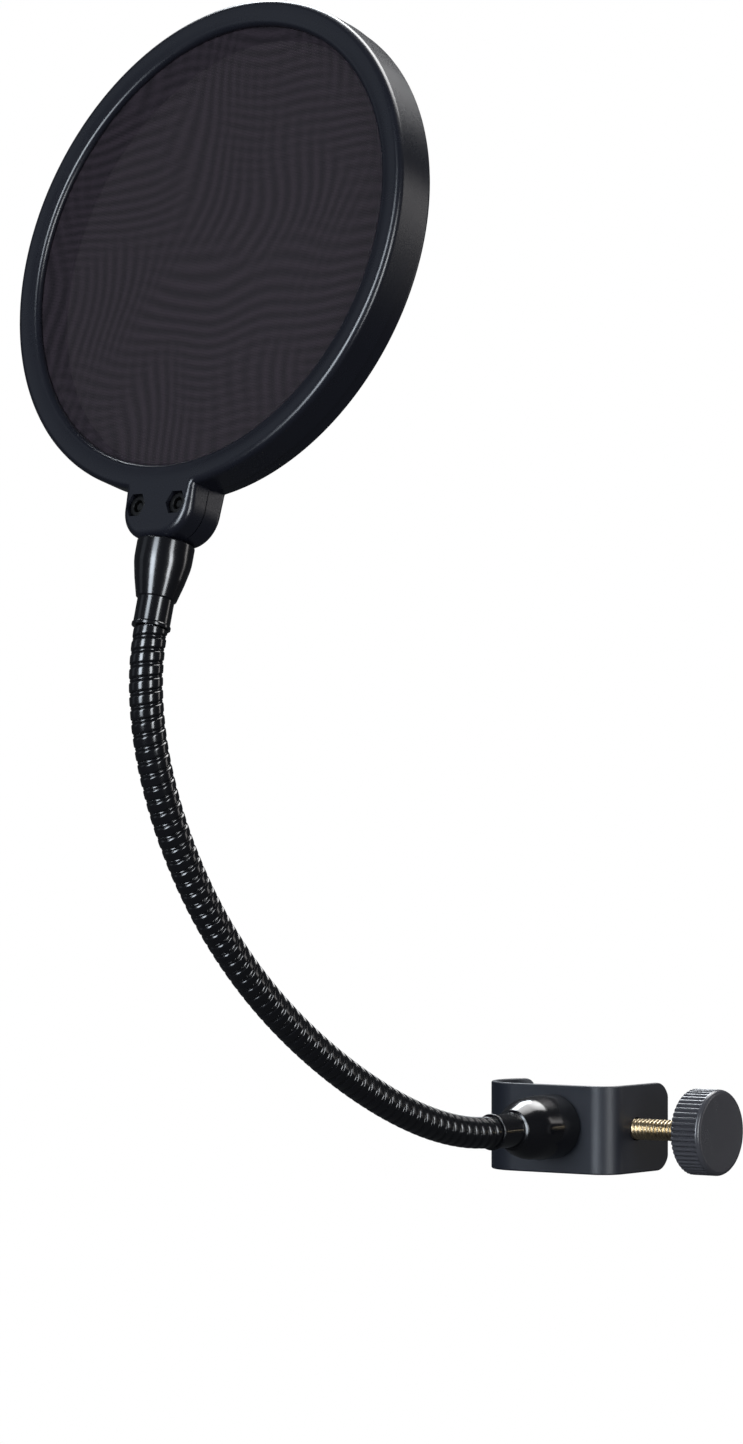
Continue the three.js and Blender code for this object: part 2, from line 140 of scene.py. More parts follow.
def along_axis(origin: Sequence[float], direction: Sequence[float]) -> Placement:
    """Makes a frame whose third axis runs along a direction.

    Args:
        origin: where the local origin lies.
        direction: the local +Z.

    Returns:
        A right-handed frame with its first axis as near to the row's X or Z as it can be.
    """
    z = unit(direction)
    helper = np.array([0.0, 0.0, 1.0]) if abs(z[2]) < 0.9 else np.array([1.0, 0.0, 0.0])
    x = unit(helper - z * (helper @ z))
    return Placement(np.asarray(origin, float), np.stack([x, np.cross(z, x), z]))


def make_object(name: str, points: Array, faces: list) -> bpy.types.Object:
    """Puts points and faces into a smooth-shaded mesh, with faces turned outwards.

    The sign of the enclosed volume, a sixth of the sum of p0 . (p1 x p2) over a fan of each
    face, says whether the faces point out. They are all reversed if it is negative.

    Args:
        name: the piece's name.
        points: (n, 3) positions.
        faces: lists of point numbers.

    Returns:
        The new object, linked to the scene at the origin.
    """
    tris = np.array([(f[0], f[k], f[k + 1]) for f in faces for k in range(1, len(f) - 1)])
    p0, p1, p2 = (points[tris[:, k]] for k in range(3))
    centre = points.mean(0)
    volume = np.einsum("ij,ij->", p0 - centre, np.cross(p1 - centre, p2 - centre)) / 6
    if volume < 0:
        faces = [f[::-1] for f in faces]
    mesh = bpy.data.meshes.new(name)
    mesh.from_pydata(points.tolist(), [], faces)
    mesh.polygons.foreach_set("use_smooth", np.ones(len(mesh.polygons), bool))
    mesh.set_sharp_from_angle(angle=SHARP)
    mesh.update()
    obj = bpy.data.objects.new(name, mesh)
    bpy.context.scene.collection.objects.link(obj)
    return obj


def skin(name: str, rings: Array, ends: Ends = Ends.CAPPED) -> bpy.types.Object:
    """Covers a stack of closed rings with quads.

    Args:
        name: the piece's name.
        rings: (n, m, 3) points, m round each of n rings.
        ends: CAPPED closes both ends with a fan to their middle, LOOPED joins the last ring
            to the first, OPEN leaves a sheet with one fan at its first ring.

    Returns:
        The new object.
    """
    n, m = rings.shape[:2]
    points = rings.reshape(-1, 3)
    i = np.arange(n if ends is Ends.LOOPED else n - 1)[:, None]
    j = np.arange(m)[None, :]
    low, high = i * m, (i + 1) % n * m
    quads = np.stack([low + j, low + (j + 1) % m, high + (j + 1) % m, high + j], -1)
    faces = quads.reshape(-1, 4).tolist()
    if ends is not Ends.LOOPED:
        points = np.concatenate([points, rings[:1].mean(1)])
        faces += [[n * m, (k + 1) % m, k] for k in range(m)]
    if ends is Ends.CAPPED:
        points = np.concatenate([points, rings[-1:].mean(1)])
        last = (n - 1) * m
        faces += [[n * m + 1, last + k, last + (k + 1) % m] for k in range(m)]
    return make_object(name, points, faces)


def rounded(corners: Sequence[Corner], steps: int = 6, closed: bool = False) -> Array:
    """Follows straight lines between corners, with each corner eased by a tangent arc.

    Each arc's centre lies on the corner's bisector, at radius / sin(half the corner's angle).

    Args:
        corners: (x, y, radius) in order. The ends of an open path keep their points.
        steps: pieces of each arc.
        closed: whether the last corner leads back to the first.

    Returns:
        (n, 2) points.
    """
    points = np.array([c[:2] for c in corners], float)
    count = len(corners)
    path: list[Array] = []
    for k, (_, _, radius) in enumerate(corners):
        at = points[k]
        if radius <= 0 or (not closed and k in (0, count - 1)):
            path.append(at[None])
            continue
        back = unit(points[k - 1] - at)
        on = unit(points[(k + 1) % count] - at)
        half = math.acos(np.clip(back @ on, -1, 1)) / 2
        if math.pi / 2 - half < 1e-3:
            path.append(at[None])
            continue
        centre = at + unit(back + on) * radius / math.sin(half)
        start, end = (at + d * radius / math.tan(half) - centre for d in (back, on))
        sweep = math.pi - 2 * half
        t = np.linspace(0, 1, steps + 1)[:, None]
        blend = np.sin((1 - t) * sweep) * start + np.sin(t * sweep) * end
        path.append(centre + blend / math.sin(sweep))
    return np.concatenate(path)


def circle_of(segments: int) -> tuple[Array, Array]:
    """Returns the cosines and sines of evenly spaced angles round a circle."""
    angle = np.linspace(0, TAU, segments, endpoint=False)
    return np.cos(angle), np.sin(angle)


def turned(
    name: str,
    profile: Array,
    place: Placement,
    segments: int = 96,
    ends: Ends = Ends.CAPPED,
) -> bpy.types.Object:
    """Revolves a profile: a point (radius, height) becomes (radius cos a, radius sin a, height).

    Args:
        name: the piece's name.
        profile: (n, 2) radii and heights.
        place: the frame whose third axis is the axis of the turning.
        segments: facets round the axis.
        ends: CAPPED for a solid of revolution, LOOPED for a ring.

    Returns:
        The new object.
    """
    c, s = circle_of(segments)
    radius, height = profile[:, :1], profile[:, 1:]
    local = np.stack([radius * c, radius * s, height + 0 * c], -1)
    return skin(name, place.world(local), ends)


def corner_fans(steps: int) -> tuple[Array, Array, Array]:
    """Lays out the outline of a rectangle whose four corners are quarter circles.

    Args:
        steps: points on each corner.

    Returns:
        The angle of each point on its corner's circle, and the sign of its side and of its
        top: +1 or -1 times the distance to that circle's centre.
    """
    quarter = np.linspace(0, math.pi / 2, steps)
    angles = np.concatenate([quarter + k * math.pi / 2 for k in range(4)])
    return angles, np.repeat([1.0, -1.0, -1.0, 1.0], steps), np.repeat([1.0, 1.0, -1.0, -1.0], steps)


def hex_radius(angle: Array, across_flats: float) -> Array:
    """Returns a hexagon's radius: half its flats over the cosine of the angle from the nearest flat."""
    from_flat = (angle + math.pi / 6) % (math.pi / 3) - math.pi / 6
    return across_flats / 2 / np.cos(from_flat)


def apply_modifiers(obj: bpy.types.Object) -> None:
    """Replaces an object's mesh by what its modifiers make of it, and removes them.

    Args:
        obj: the object whose modifiers are applied.
    """
    graph = bpy.context.evaluated_depsgraph_get()
    graph.update()
    made = bpy.data.meshes.new_from_object(obj.evaluated_get(graph))
    obj.modifiers.clear()
    old, obj.data = obj.data, made
    bpy.data.meshes.remove(old)


def carve(obj: bpy.types.Object, cutters: Sequence[bpy.types.Object]) -> None:
    """Cuts each closed cutter out of a piece, and removes the cutters.

    Args:
        obj: the piece that is cut.
        cutters: closed objects, removed afterwards.
    """
    for cutter in cutters:
        cut = obj.modifiers.new("cut", "BOOLEAN")
        cut.operation = "DIFFERENCE"
        cut.solver = "MANIFOLD"
        cut.object = cutter
    apply_modifiers(obj)
    obj.data.set_sharp_from_angle(angle=SHARP)
    for cutter in cutters:
        bpy.data.objects.remove(cutter)


def flatten_shading(obj: bpy.types.Object) -> None:
    """Weights the normals by face area, so that flats between rounded edges shade flat.

    Args:
        obj: the piece that gets the modifier.
    """
    weighted = obj.modifiers.new("weighted", "WEIGHTED_NORMAL")
    weighted.keep_sharp = True
    weighted.weight = 80


# ------------------------------------------------------------------ shader writing


Scalar = Union["Wire", float]


class Sheet:
    """A material's node tree, written as expressions."""

    def __init__(self, name: str) -> None:
        """Makes an empty material with one Principled surface.

        Args:
            name: the material's name.
        """
        self.material = bpy.data.materials.new(name)
        self.material.use_nodes = True
        self.tree = self.material.node_tree
        self.surface = next(n for n in self.tree.nodes if n.type == "BSDF_PRINCIPLED")

    def node(self, kind: str, settings: dict, inputs: dict) -> bpy.types.Node:
        """Adds a node.

        Args:
            kind: the node's type name.
            settings: properties that are set first.
            inputs: socket name or number to a value, a socket or a Wire.

        Returns:
            The new node.
        """
        made = self.tree.nodes.new(kind)
        for key, value in settings.items():
            setattr(made, key, value)
        for key, value in inputs.items():
            self.feed(made.inputs[key], value)
        return made

    def feed(self, socket: bpy.types.NodeSocket, value: object) -> None:
        """Gives a socket a constant or a link.

        Args:
            socket: the input that is fed.
            value: a Wire or an output socket, which is linked, or a constant.
        """
        if isinstance(value, Wire):
            self.tree.links.new(value.socket, socket)
        elif isinstance(value, bpy.types.NodeSocket):
            self.tree.links.new(value, socket)
        else:
            socket.default_value = value

    def wire(self, kind: str, settings: dict, inputs: dict, output: Union[str, int] = 0) -> "Wire":
        """Adds a node and returns one of its outputs as a Wire."""
        return Wire(self, self.node(kind, settings, inputs).outputs[output])

    def object_coordinates(self) -> bpy.types.NodeSocket:
        """Returns the piece's object coordinates, which are the row frame's metres."""
        return self.node("ShaderNodeTexCoord", {}, {}).outputs["Object"]

    def noise(self, where: object, scale: float, detail: float = 2, rough: float = 0.5) -> "Wire":
        """Returns fractal noise from 0 to 1 at a number of cells per metre."""
        inputs = {"Vector": where, "Scale": scale, "Detail": detail, "Roughness": rough}
        return self.wire("ShaderNodeTexNoise", {}, inputs, "Fac")

    def mix(self, share: "Wire", first: Colour, second: Colour) -> bpy.types.NodeSocket:
        """Returns a blend of two colours, the first at a share of 0."""
        inputs = {"Factor": share, 6: (*first, 1), 7: (*second, 1)}
        return self.node("ShaderNodeMix", {"data_type": "RGBA"}, inputs).outputs[2]

    def bump(self, height: "Wire", strength: float, distance: float) -> bpy.types.NodeSocket:
        """Returns a normal bent by a height field."""
        inputs = {"Height": height, "Strength": strength, "Distance": distance}
        return self.node("ShaderNodeBump", {}, inputs).outputs["Normal"]

    def finish(self, **inputs: object) -> bpy.types.Material:
        """Feeds the Principled surface's sockets.

        Args:
            **inputs: socket name, with _ for a space, to a value or a link.

        Returns:
            The finished material.
        """
        for key, value in inputs.items():
            self.feed(self.surface.inputs[key.replace("_", " ")], value)
        return self.material


@dataclass(frozen=True)
class Wire:
    """A number on a link. Arithmetic on it adds Math nodes."""

    sheet: Sheet
    socket: bpy.types.NodeSocket

    def math(self, operation: str, first: Scalar, second: Scalar = 0.0) -> "Wire":
        """Adds one Math node."""
        return self.sheet.wire("ShaderNodeMath", {"operation": operation}, {0: first, 1: second})

    def __add__(self, other: Scalar) -> "Wire":
        """self + other."""
        return self.math("ADD", self, other)

    def __radd__(self, other: Scalar) -> "Wire":
        """other + self."""
        return self.math("ADD", other, self)

    def __sub__(self, other: Scalar) -> "Wire":
        """self - other."""
        return self.math("SUBTRACT", self, other)

    def __rsub__(self, other: Scalar) -> "Wire":
        """other - self."""
        return self.math("SUBTRACT", other, self)

    def __mul__(self, other: Scalar) -> "Wire":
        """self * other."""
        return self.math("MULTIPLY", self, other)

    def __rmul__(self, other: Scalar) -> "Wire":
        """other * self."""
        return self.math("MULTIPLY", other, self)

    def sine(self) -> "Wire":
        """Returns the sine of a number in radians."""
        return self.math("SINE", self)

    def clamped(self) -> "Wire":
        """Returns the number held between 0 and 1."""
        return self.math("MAXIMUM", self.math("MINIMUM", self, 1.0), 0.0)


# ------------------------------------------------------------------ finishes


@dataclass(frozen=True)
class Moulding:
    """Black plastic with the fine grain of a spark-eroded mould."""

    name: str
    colour: Colour
    rough: float
    grain_per_m: float = 3200
    grain_depth: float = 0.000012
    cloud_per_m: float = 45

    def build(self) -> bpy.types.Material:
        """Returns the material: grain as bump, soft clouds in tone and roughness."""
        sheet = Sheet(self.name)
        where = sheet.object_coordinates()
        cloud = sheet.noise(where, self.cloud_per_m, 4, 0.6)
        grain = sheet.noise(where, self.grain_per_m, 3, 0.7)
        lighter = tuple(1.4 * c for c in self.colour)
        return sheet.finish(
            Base_Color=sheet.mix(cloud * 0.7 + grain * 0.3, self.colour, lighter),
            Roughness=(self.rough - 0.07) + cloud * 0.1 + grain * 0.05,
            Specular_IOR_Level=0.5,
            Normal=sheet.bump(grain, 0.35, self.grain_depth),
        )


@dataclass(frozen=True)
class PowderCoat:
    """Satin black powder coat: a low orange peel with small specks in it."""

    name: str = "powder_coat"
    colour: Colour = (0.0042, 0.0058, 0.0112)
    rough: float = 0.46
    peel_per_m: float = 900
    speck_per_m: float = 4200
    cloud_per_m: float = 60

    def build(self) -> bpy.types.Material:
        """Returns the material: peel and specks as bump, specks a little lighter."""
        sheet = Sheet(self.name)
        where = sheet.object_coordinates()
        peel = sheet.noise(where, self.peel_per_m, 2, 0.5)
        speck = sheet.noise(where, self.speck_per_m, 2, 0.8)
        cloud = sheet.noise(where, self.cloud_per_m, 3, 0.5)
        bright = ((speck - 0.62) * 6).clamped()
        lighter = tuple(2.2 * c for c in self.colour)
        return sheet.finish(
            Base_Color=sheet.mix(bright * 0.5, self.colour, lighter),
            Roughness=(self.rough - 0.04) + cloud * 0.1,
            Specular_IOR_Level=0.58,
            Normal=sheet.bump(peel * 0.8 + speck * 0.2, 0.4, 0.00003),
        )


@dataclass(frozen=True)
class Lacquer:
    """Gloss black lacquer over metal, with faint handling haze."""

    name: str
    colour: Colour = (0.004, 0.004, 0.005)
    dust_colour: Colour = (0.02, 0.02, 0.022)
    rough: float = 0.17
    haze_per_m: float = 120
    ripple_per_m: float = 420
    dust_per_m: float = 5200

    def build(self) -> bpy.types.Material:
        """Returns the material: haze changes the roughness, fine dust lifts the tone."""
        sheet = Sheet(self.name)
        where = sheet.object_coordinates()
        haze = sheet.noise(where, self.haze_per_m, 5, 0.65)
        ripple = sheet.noise(where, self.ripple_per_m, 2, 0.5)
        dust = ((sheet.noise(where, self.dust_per_m, 1, 0.5) - 0.7) * 8).clamped()
        return sheet.finish(
            Base_Color=sheet.mix(dust * 0.4, self.colour, self.dust_colour),
            Roughness=(self.rough - 0.02) + haze * 0.04,
            Specular_IOR_Level=0.6,
            Normal=sheet.bump(ripple, 0.05, 0.00001),
        )


@dataclass(frozen=True)
class Metal:
    """Bare or oxidised metal with drawing or turning lines across one axis."""

    name: str
    colour: Colour
    rough: float
    metallic: float = 1.0
    lines_per_m: float = 9000
    cloud_per_m: float = 300
    stretch: tuple[float, float, float] = (1.0, 0.03, 0.03)

    def build(self) -> bpy.types.Material:
        """Returns the material: stretched noise gives the lines, clouds give the tarnish."""
        sheet = Sheet(self.name)
        where = sheet.object_coordinates()
        scaled = sheet.node("ShaderNodeMapping", {}, {"Vector": where, "Scale": self.stretch})
        lines = sheet.noise(scaled.outputs["Vector"], self.lines_per_m, 2, 0.6)
        cloud = sheet.noise(where, self.cloud_per_m, 4, 0.6)
        darker = tuple(0.62 * c for c in self.colour)
        return sheet.finish(
            Base_Color=sheet.mix(cloud * 0.7, self.colour, darker),
            Metallic=self.metallic,
            Roughness=(self.rough - 0.06) + cloud * 0.1 + lines * 0.08,
            Normal=sheet.bump(lines, 0.1, 0.000005),
        )


@dataclass(frozen=True)
class Rubber:
    """Matt black rubber with a dry, dusty bloom."""

    name: str = "black_rubber"
    colour: Colour = (0.012, 0.012, 0.012)
    bloom_colour: Colour = (0.035, 0.034, 0.033)
    bloom_per_m: float = 350
    pores_per_m: float = 2600

    def build(self) -> bpy.types.Material:
        """Returns the material: bloom in tone and roughness, pores as bump."""
        sheet = Sheet(self.name)
        where = sheet.object_coordinates()
        bloom = sheet.noise(where, self.bloom_per_m, 5, 0.7)
        pores = sheet.noise(where, self.pores_per_m, 2, 0.6)
        return sheet.finish(
            Base_Color=sheet.mix(bloom * 0.6, self.colour, self.bloom_colour),
            Roughness=0.7 + bloom * 0.2,
            Normal=sheet.bump(pores, 0.5, 0.00003),
        )


@dataclass(frozen=True)
class NylonMesh:
    """Sheer woven nylon. Its UV map is in metres across the screen.

    Threads of a plain weave leave small square holes. Where two layers lie over each other,
    the beat of light and shade through both is painted into the base colour as soft waves.
    """

    name: str = "screen_nylon"
    thread_colour: Colour = (0.0028, 0.0014, 0.0032)
    # light end of the threads' random tone, and of the painted moiré light
    light_thread_and_painted_moire_colour: Colour = (0.0225, 0.0158, 0.0215)
    thread_pitch: float = 0.00042
    open_share: float = 0.44
    sheerness: float = 0.42
    moire_wave_length: float = 0.0034
    moire_wave_bend: float = 0.030

    def build(self) -> bpy.types.Material:
        """Returns the material: alpha from the weave, tone from slow waves of painted light and shade."""
        sheet = Sheet(self.name)
        uv = sheet.node("ShaderNodeUVMap", {"uv_map": "weave"}, {}).outputs["UV"]
        parts = sheet.node("ShaderNodeSeparateXYZ", {}, {"Vector": uv})
        across, along = (Wire(sheet, parts.outputs[k]) for k in range(2))
        warp = self._holes(across)
        weft = self._holes(along)
        hole = warp * weft
        swirl = sheet.noise(uv, 16, 1, 0.5)
        turn = TAU / self.moire_wave_length
        first = (along * turn + swirl * (self.moire_wave_bend * turn)).sine()
        second = (across * (turn * 0.8) + swirl * (self.moire_wave_bend * turn * 1.2)).sine()
        share = ((sheet.noise(uv, 24, 1, 0.5) - 0.42) * 6).clamped()
        # painted light and shade: the beat of two layers seen through each other, as soft waves in the base
        # colour
        painted_moire_waves = (second + (first - second) * share) * 0.5 + 0.5
        tone = (painted_moire_waves * 0.55 + sheet.noise(uv, 900, 2, 0.7) * 0.6 - 0.1).clamped()
        return sheet.finish(
            Base_Color=sheet.mix(tone, self.thread_colour, self.light_thread_and_painted_moire_colour),
            Roughness=0.72 + tone * 0.12,
            Alpha=1.0 - hole * self.sheerness,
            Specular_IOR_Level=0.2,
            Normal=sheet.bump(1.0 - warp + (1.0 - weft), 0.35, 0.00004),
        )

    def _holes(self, distance: Wire) -> Wire:
        """Returns 1 in the gap between two threads and 0 on a thread, along one direction."""
        wave = (distance * (TAU / self.thread_pitch)).sine()
        edge = math.cos(math.pi * self.open_share)
        return ((wave - edge) * 5 + 0.5).clamped()


class Finish(Enum):
    """The record's material slots, each with what makes its finish."""

    POWDER_COAT = PowderCoat()
    GLOSS_BLACK = Lacquer("gloss_black")
    HEAD_PLASTIC = Moulding("head_plastic", (0.0050, 0.0054, 0.0084), 0.27)
    KNOB_PLASTIC = Moulding("knob_plastic", (0.0345, 0.0340, 0.0385), 0.25, 4200)
    SCREEN_NYLON = NylonMesh()
    BRASS = Metal("brass", (0.66, 0.54, 0.36), 0.26, 1.0, 3000)
    DARK_STEEL = Metal("dark_steel", (0.006, 0.006, 0.0065), 0.42, 0.4)
    SPRING_STEEL = Metal("spring_steel", (0.30, 0.30, 0.31), 0.35)
    BLACK_RUBBER = Rubber()

    @property
    def slot(self) -> str:
        """The slot's name in the record."""
        return self.value.name

    @cache
    def material(self) -> bpy.types.Material:
        """Returns the finish's material, made once."""
        return self.value.build()


def dress(obj: bpy.types.Object, finish: Finish) -> None:
    """Gives a piece its finish, a material named after its slot.

    Args:
        obj: the piece, or a CAD node's object.
        finish: its finish.
    """
    obj.data.materials.clear()
    obj.data.materials.append(finish.material())


def seat(obj: bpy.types.Object, finish: Finish, body: str, *nodes: str) -> bpy.types.Object:
    """Finishes a piece, lets it ride on a body and stand for the nodes that it replaces.

    Args:
        obj: the piece.
        finish: its finish.
        body: the body that it rides on.
        *nodes: the nodes that it stands for.

    Returns:
        The same piece.
    """
    dress(obj, finish)
    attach(obj, body)
    if nodes:
        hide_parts(*nodes)
    log.info("%s rides on %s as %s", obj.name, body, finish.slot)
    return obj


# ------------------------------------------------------------------ clamp


@dataclass(frozen=True)
class Clamp:
    """The bent strip with its liner, its nut and the screw that holds the arm."""

    strip_half: float = 0.0009
    half_height: float = 0.0127
    edge_radius: float = 0.0005
    hook_radius: float = 0.0130
    hook_centre_x: float = 0.0028
    hook_wrap_deg: float = 140.0
    bend_radius: float = 0.0061
    leg_x: float = 0.0359
    leg_end: float = 0.0167
    leg_corner: float = 0.0055
    tip_corner: float = 0.0030
    hole_radius: float = 0.0034
    liner_thickness: float = 0.0012
    liner_half_height: float = 0.0100
    liner_rib: float = 0.00012
    nut_flats: float = 0.0111
    nut_bore: float = 0.00318
    arm_screw_head: float = 0.0046
    arm_screw_shank: float = 0.0023
    arm_screw_recess: float = 0.0052
    washer_radii: tuple[float, float] = (0.0027, 0.0044)

    def centreline(self) -> tuple[Array, Array]:
        """Works out the strip's middle line seen from above.

        An arc of the hook, a straight web, a quarter arc and a straight leg, one after another.

        Returns:
            (n, 2) points, and the (n, 2) normals that point out of the C.
        """
        hook = np.radians(np.linspace(270 - self.hook_wrap_deg, 270, 60))
        bend = np.radians(np.linspace(270, 360, 24))
        bend_x, bend_y = self.leg_x - self.bend_radius, self.bend_radius - self.hook_radius
        ease = 1 - np.cos(np.linspace(0, math.pi / 2, 26))
        leg_y = self.leg_end - (self.leg_end - bend_y) * ease[::-1][1:]
        web_x = np.linspace(self.hook_centre_x, bend_x, 12)[1:-1]
        hook_way = np.stack([np.cos(hook), np.sin(hook)], 1)
        bend_way = np.stack([np.cos(bend), np.sin(bend)], 1)
        points = np.concatenate([
            [self.hook_centre_x, 0.0] + self.hook_radius * hook_way,
            np.stack([web_x, np.full_like(web_x, -self.hook_radius)], 1),
            [bend_x, bend_y] + self.bend_radius * bend_way,
            np.stack([np.full_like(leg_y, self.leg_x), leg_y], 1),
        ])
        normals = np.concatenate([
            hook_way,
            np.tile([0.0, -1.0], (len(web_x), 1)),
            bend_way,
            np.tile([1.0, 0.0], (len(leg_y), 1)),
        ])
        return points, normals

    def strip(self, name: str, corners: tuple[float, float]) -> bpy.types.Object:
        """Carries a rounded rectangle along the centreline.

        Near each end the rectangle gets lower, by the drop of a circle of the corner radius,
        and thinner, by the drop of a circle of the edge radius, so every edge is eased.

        Args:
            name: the piece's name.
            corners: corner radius at the hook's tip and at the leg's end.

        Returns:
            The new object.
        """
        points, normals = self.centreline()
        points, normals = self._densify(points, normals)
        along = np.concatenate([[0], np.cumsum(np.linalg.norm(np.diff(points, axis=0), axis=1))])
        total = along[-1]
        edge = self.edge_radius
        lows = np.full_like(along, self.half_height)
        thin = np.full_like(along, self.strip_half)
        for distance, radius in ((along, corners[0]), (total - along, corners[1])):
            drop = radius - np.sqrt(np.maximum(radius**2 - np.maximum(radius - distance, 0) ** 2, 0))
            lows = np.minimum(lows, self.half_height - drop)
            ease = edge - np.sqrt(np.maximum(edge**2 - np.maximum(edge - distance, 0) ** 2, 0))
            thin = np.minimum(thin, self.strip_half - ease)
        angles, side, top = corner_fans(6)
        across = side * (thin[:, None] - edge) + edge * np.cos(angles)
        upward = top * (lows[:, None] - edge) + edge * np.sin(angles)
        rings = np.zeros((*across.shape, 3))
        rings[..., :2] = points[:, None] + normals[:, None] * across[..., None]
        rings[..., 2] = upward
        return skin(name, rings)

    def _densify(self, points: Array, normals: Array) -> tuple[Array, Array]:
        """Adds stations close to both ends, where the corners and edges are eased.

        Args:
            points: (n, 2) points of the centreline.
            normals: their unit normals.

        Returns:
            The same two arrays with more rows.
        """
        along = np.concatenate([[0], np.cumsum(np.linalg.norm(np.diff(points, axis=0), axis=1))])
        close = 0.006 * (1 - np.cos(np.linspace(0, math.pi / 2, 22)))
        stations = np.unique(np.concatenate([along, close, along[-1] - close]).round(8))
        at = np.stack([np.interp(stations, along, points[:, k]) for k in range(2)], 1)
        out = np.stack([np.interp(stations, along, normals[:, k]) for k in range(2)], 1)
        return at, out / np.linalg.norm(out, axis=1, keepdims=True)

    def build_bracket(self) -> None:
        """Builds the bracket with its screw hole."""
        bracket = self.strip("bracket", (self.tip_corner, self.leg_corner))
        hole = np.array([(self.hole_radius, -0.004), (self.hole_radius, 0.004)])
        carve(bracket, [turned("leg_hole", hole, along_axis((self.leg_x, 0, 0), (1, 0, 0)), 48)])
        flatten_shading(bracket)
        seat(bracket, Finish.POWDER_COAT, "clamp", "clamp_bracket")

    def build_liner(self) -> None:
        """Builds the liner: an arc strip with eased edges, ribbed along its inner face.

        A rib lifts the inner face by its depth times (1 - cos of ninety times the angle) / 2.
        """
        wrap = np.radians(np.linspace(273.4 - self.hook_wrap_deg, 263.0, 150))
        outer = self.hook_radius - self.strip_half - 0.00003
        inner = outer - self.liner_thickness
        edge = 0.0003
        angles, side, top = corner_fans(5)
        half = self.liner_thickness / 2
        rib = self.liner_rib * (0.5 - 0.5 * np.cos(wrap * 90))[:, None] * (side < 0)
        radius = (outer + inner) / 2 + side * (half - edge) + edge * np.cos(angles) + rib
        height = top * (self.liner_half_height - edge) + edge * np.sin(angles)
        rings = np.stack([
            self.hook_centre_x + radius * np.cos(wrap)[:, None],
            radius * np.sin(wrap)[:, None],
            np.broadcast_to(height, radius.shape),
        ], -1)
        seat(skin("hook_liner", rings), Finish.BLACK_RUBBER, "clamp", "jaw_liner")

    def build_fixings(self) -> None:
        """Builds the nut in the leg, and the screw and washer that hold the arm."""
        low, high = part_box("clamp_nut")
        length = high.x - low.x
        place = along_axis((low.x, 0, 0), (1, 0, 0))
        nut = nut_surface("leg_nut", self.nut_flats, self.nut_bore, length, place)
        seat(nut, Finish.DARK_STEEL, "clamp", "clamp_nut")
        low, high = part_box("arm_fixing_screw")
        centre = (low + high) / 2
        seat_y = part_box("arm_lock_washer")[1].y
        head = along_axis((centre.x, seat_y, centre.z), (0, 1, 0))
        screw = recessed_head("arm_screw", self.arm_screw_head, high.y - seat_y, self.arm_screw_shank,
                              low.y - seat_y, head, self.arm_screw_recess)
        seat(screw, Finish.DARK_STEEL, "clamp", "arm_fixing_screw")
        low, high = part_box("arm_lock_washer")
        inner, outer = self.washer_radii
        thick, ease = high.y - low.y, 0.0002
        corners = [(inner, 0, ease), (outer, 0, ease), (outer, thick, ease), (inner, thick, ease)]
        washer = rounded(corners, 4, True)
        place = along_axis((centre.x, low.y, centre.z), (0, 1, 0))
        ring = turned("lock_washer", washer, place, 64, Ends.LOOPED)
        seat(ring, Finish.DARK_STEEL, "clamp", "arm_lock_washer")


def nut_surface(name: str, flats: float, bore: float, length: float, place: Placement) -> bpy.types.Object:
    """Makes a chamfered hex nut.

    The outside is the hexagon's radius, held inside a cone at each end that starts at 0.46 of
    the flats and opens at 30 degrees, and the bore has a small countersink at each end.

    Args:
        name: the piece's name.
        flats: width across the flats.
        bore: the hole's radius.
        length: the nut's length.
        place: frame whose third axis is the nut's.

    Returns:
        The new object.
    """
    angle = np.linspace(0, TAU, 120, endpoint=False)
    ends = np.array([0, 0.04, 0.09, 0.16])
    share = np.concatenate([ends, np.linspace(0.25, 0.75, 4), 1 - ends[::-1]])
    height = share[:, None] * length
    from_end = np.minimum(height, length - height)
    outside = np.minimum(hex_radius(angle, flats), flats * 0.46 + from_end * math.sqrt(3))
    sink = np.maximum(length * 0.08 - from_end[::-1], 0)
    inside = bore + sink + 0 * angle
    radius = np.concatenate([outside, inside])
    tall = np.concatenate([height, height[::-1]]) + 0 * angle
    local = np.stack([radius * np.cos(angle), radius * np.sin(angle), tall], -1)
    return skin(name, place.world(local), Ends.LOOPED)


def recessed_head(
    name: str, head: float, rise: float, shank: float, tip: float, place: Placement, cross: float
) -> bpy.types.Object:
    """Makes a pan-head screw with a cross recess.

    The head's top is a disc of rings. Each point sinks by the recess depth where it lies
    inside either bar of the cross, with a sloped wall.

    Args:
        name: the piece's name.
        head: the head's radius.
        rise: the head's height above the seat.
        shank: the shank's radius.
        tip: the tip's height, below the seat, so negative.
        place: frame whose third axis points out of the head.
        cross: length of each bar of the recess.

    Returns:
        The new object.
    """
    side = rounded([
        (shank * 0.7, tip, 0), (shank, tip + shank * 0.3, 0), (shank, 0, 0), (head, 0, head * 0.04),
        (head, rise, rise * 0.6), (head * 0.72, rise, 0),
    ], 8)
    inner = np.linspace(0.70, 0.02, 26)[:, None] * [head, 0.0] + [0.0, rise]
    profile = np.concatenate([side, inner])
    c, s = circle_of(96)
    local = np.stack([profile[:, :1] * c, profile[:, :1] * s, profile[:, 1:] + 0 * c], -1)
    x, y = local[..., 0], local[..., 1]
    bar = cross * 0.13
    sink = np.zeros_like(x)
    for one, other in ((x, y), (y, x)):
        inside = np.clip((bar - np.abs(one)) / (bar * 0.5), 0, 1)
        within = np.clip((cross / 2 - np.abs(other)) / (bar * 1.4), 0, 1)
        sink = np.maximum(sink, inside * within)
    top = np.zeros(len(profile))
    top[len(side):] = 1
    local[..., 2] -= sink * top[:, None] * min(rise * 0.8, cross * 0.35)
    return skin(name, place.world(local))


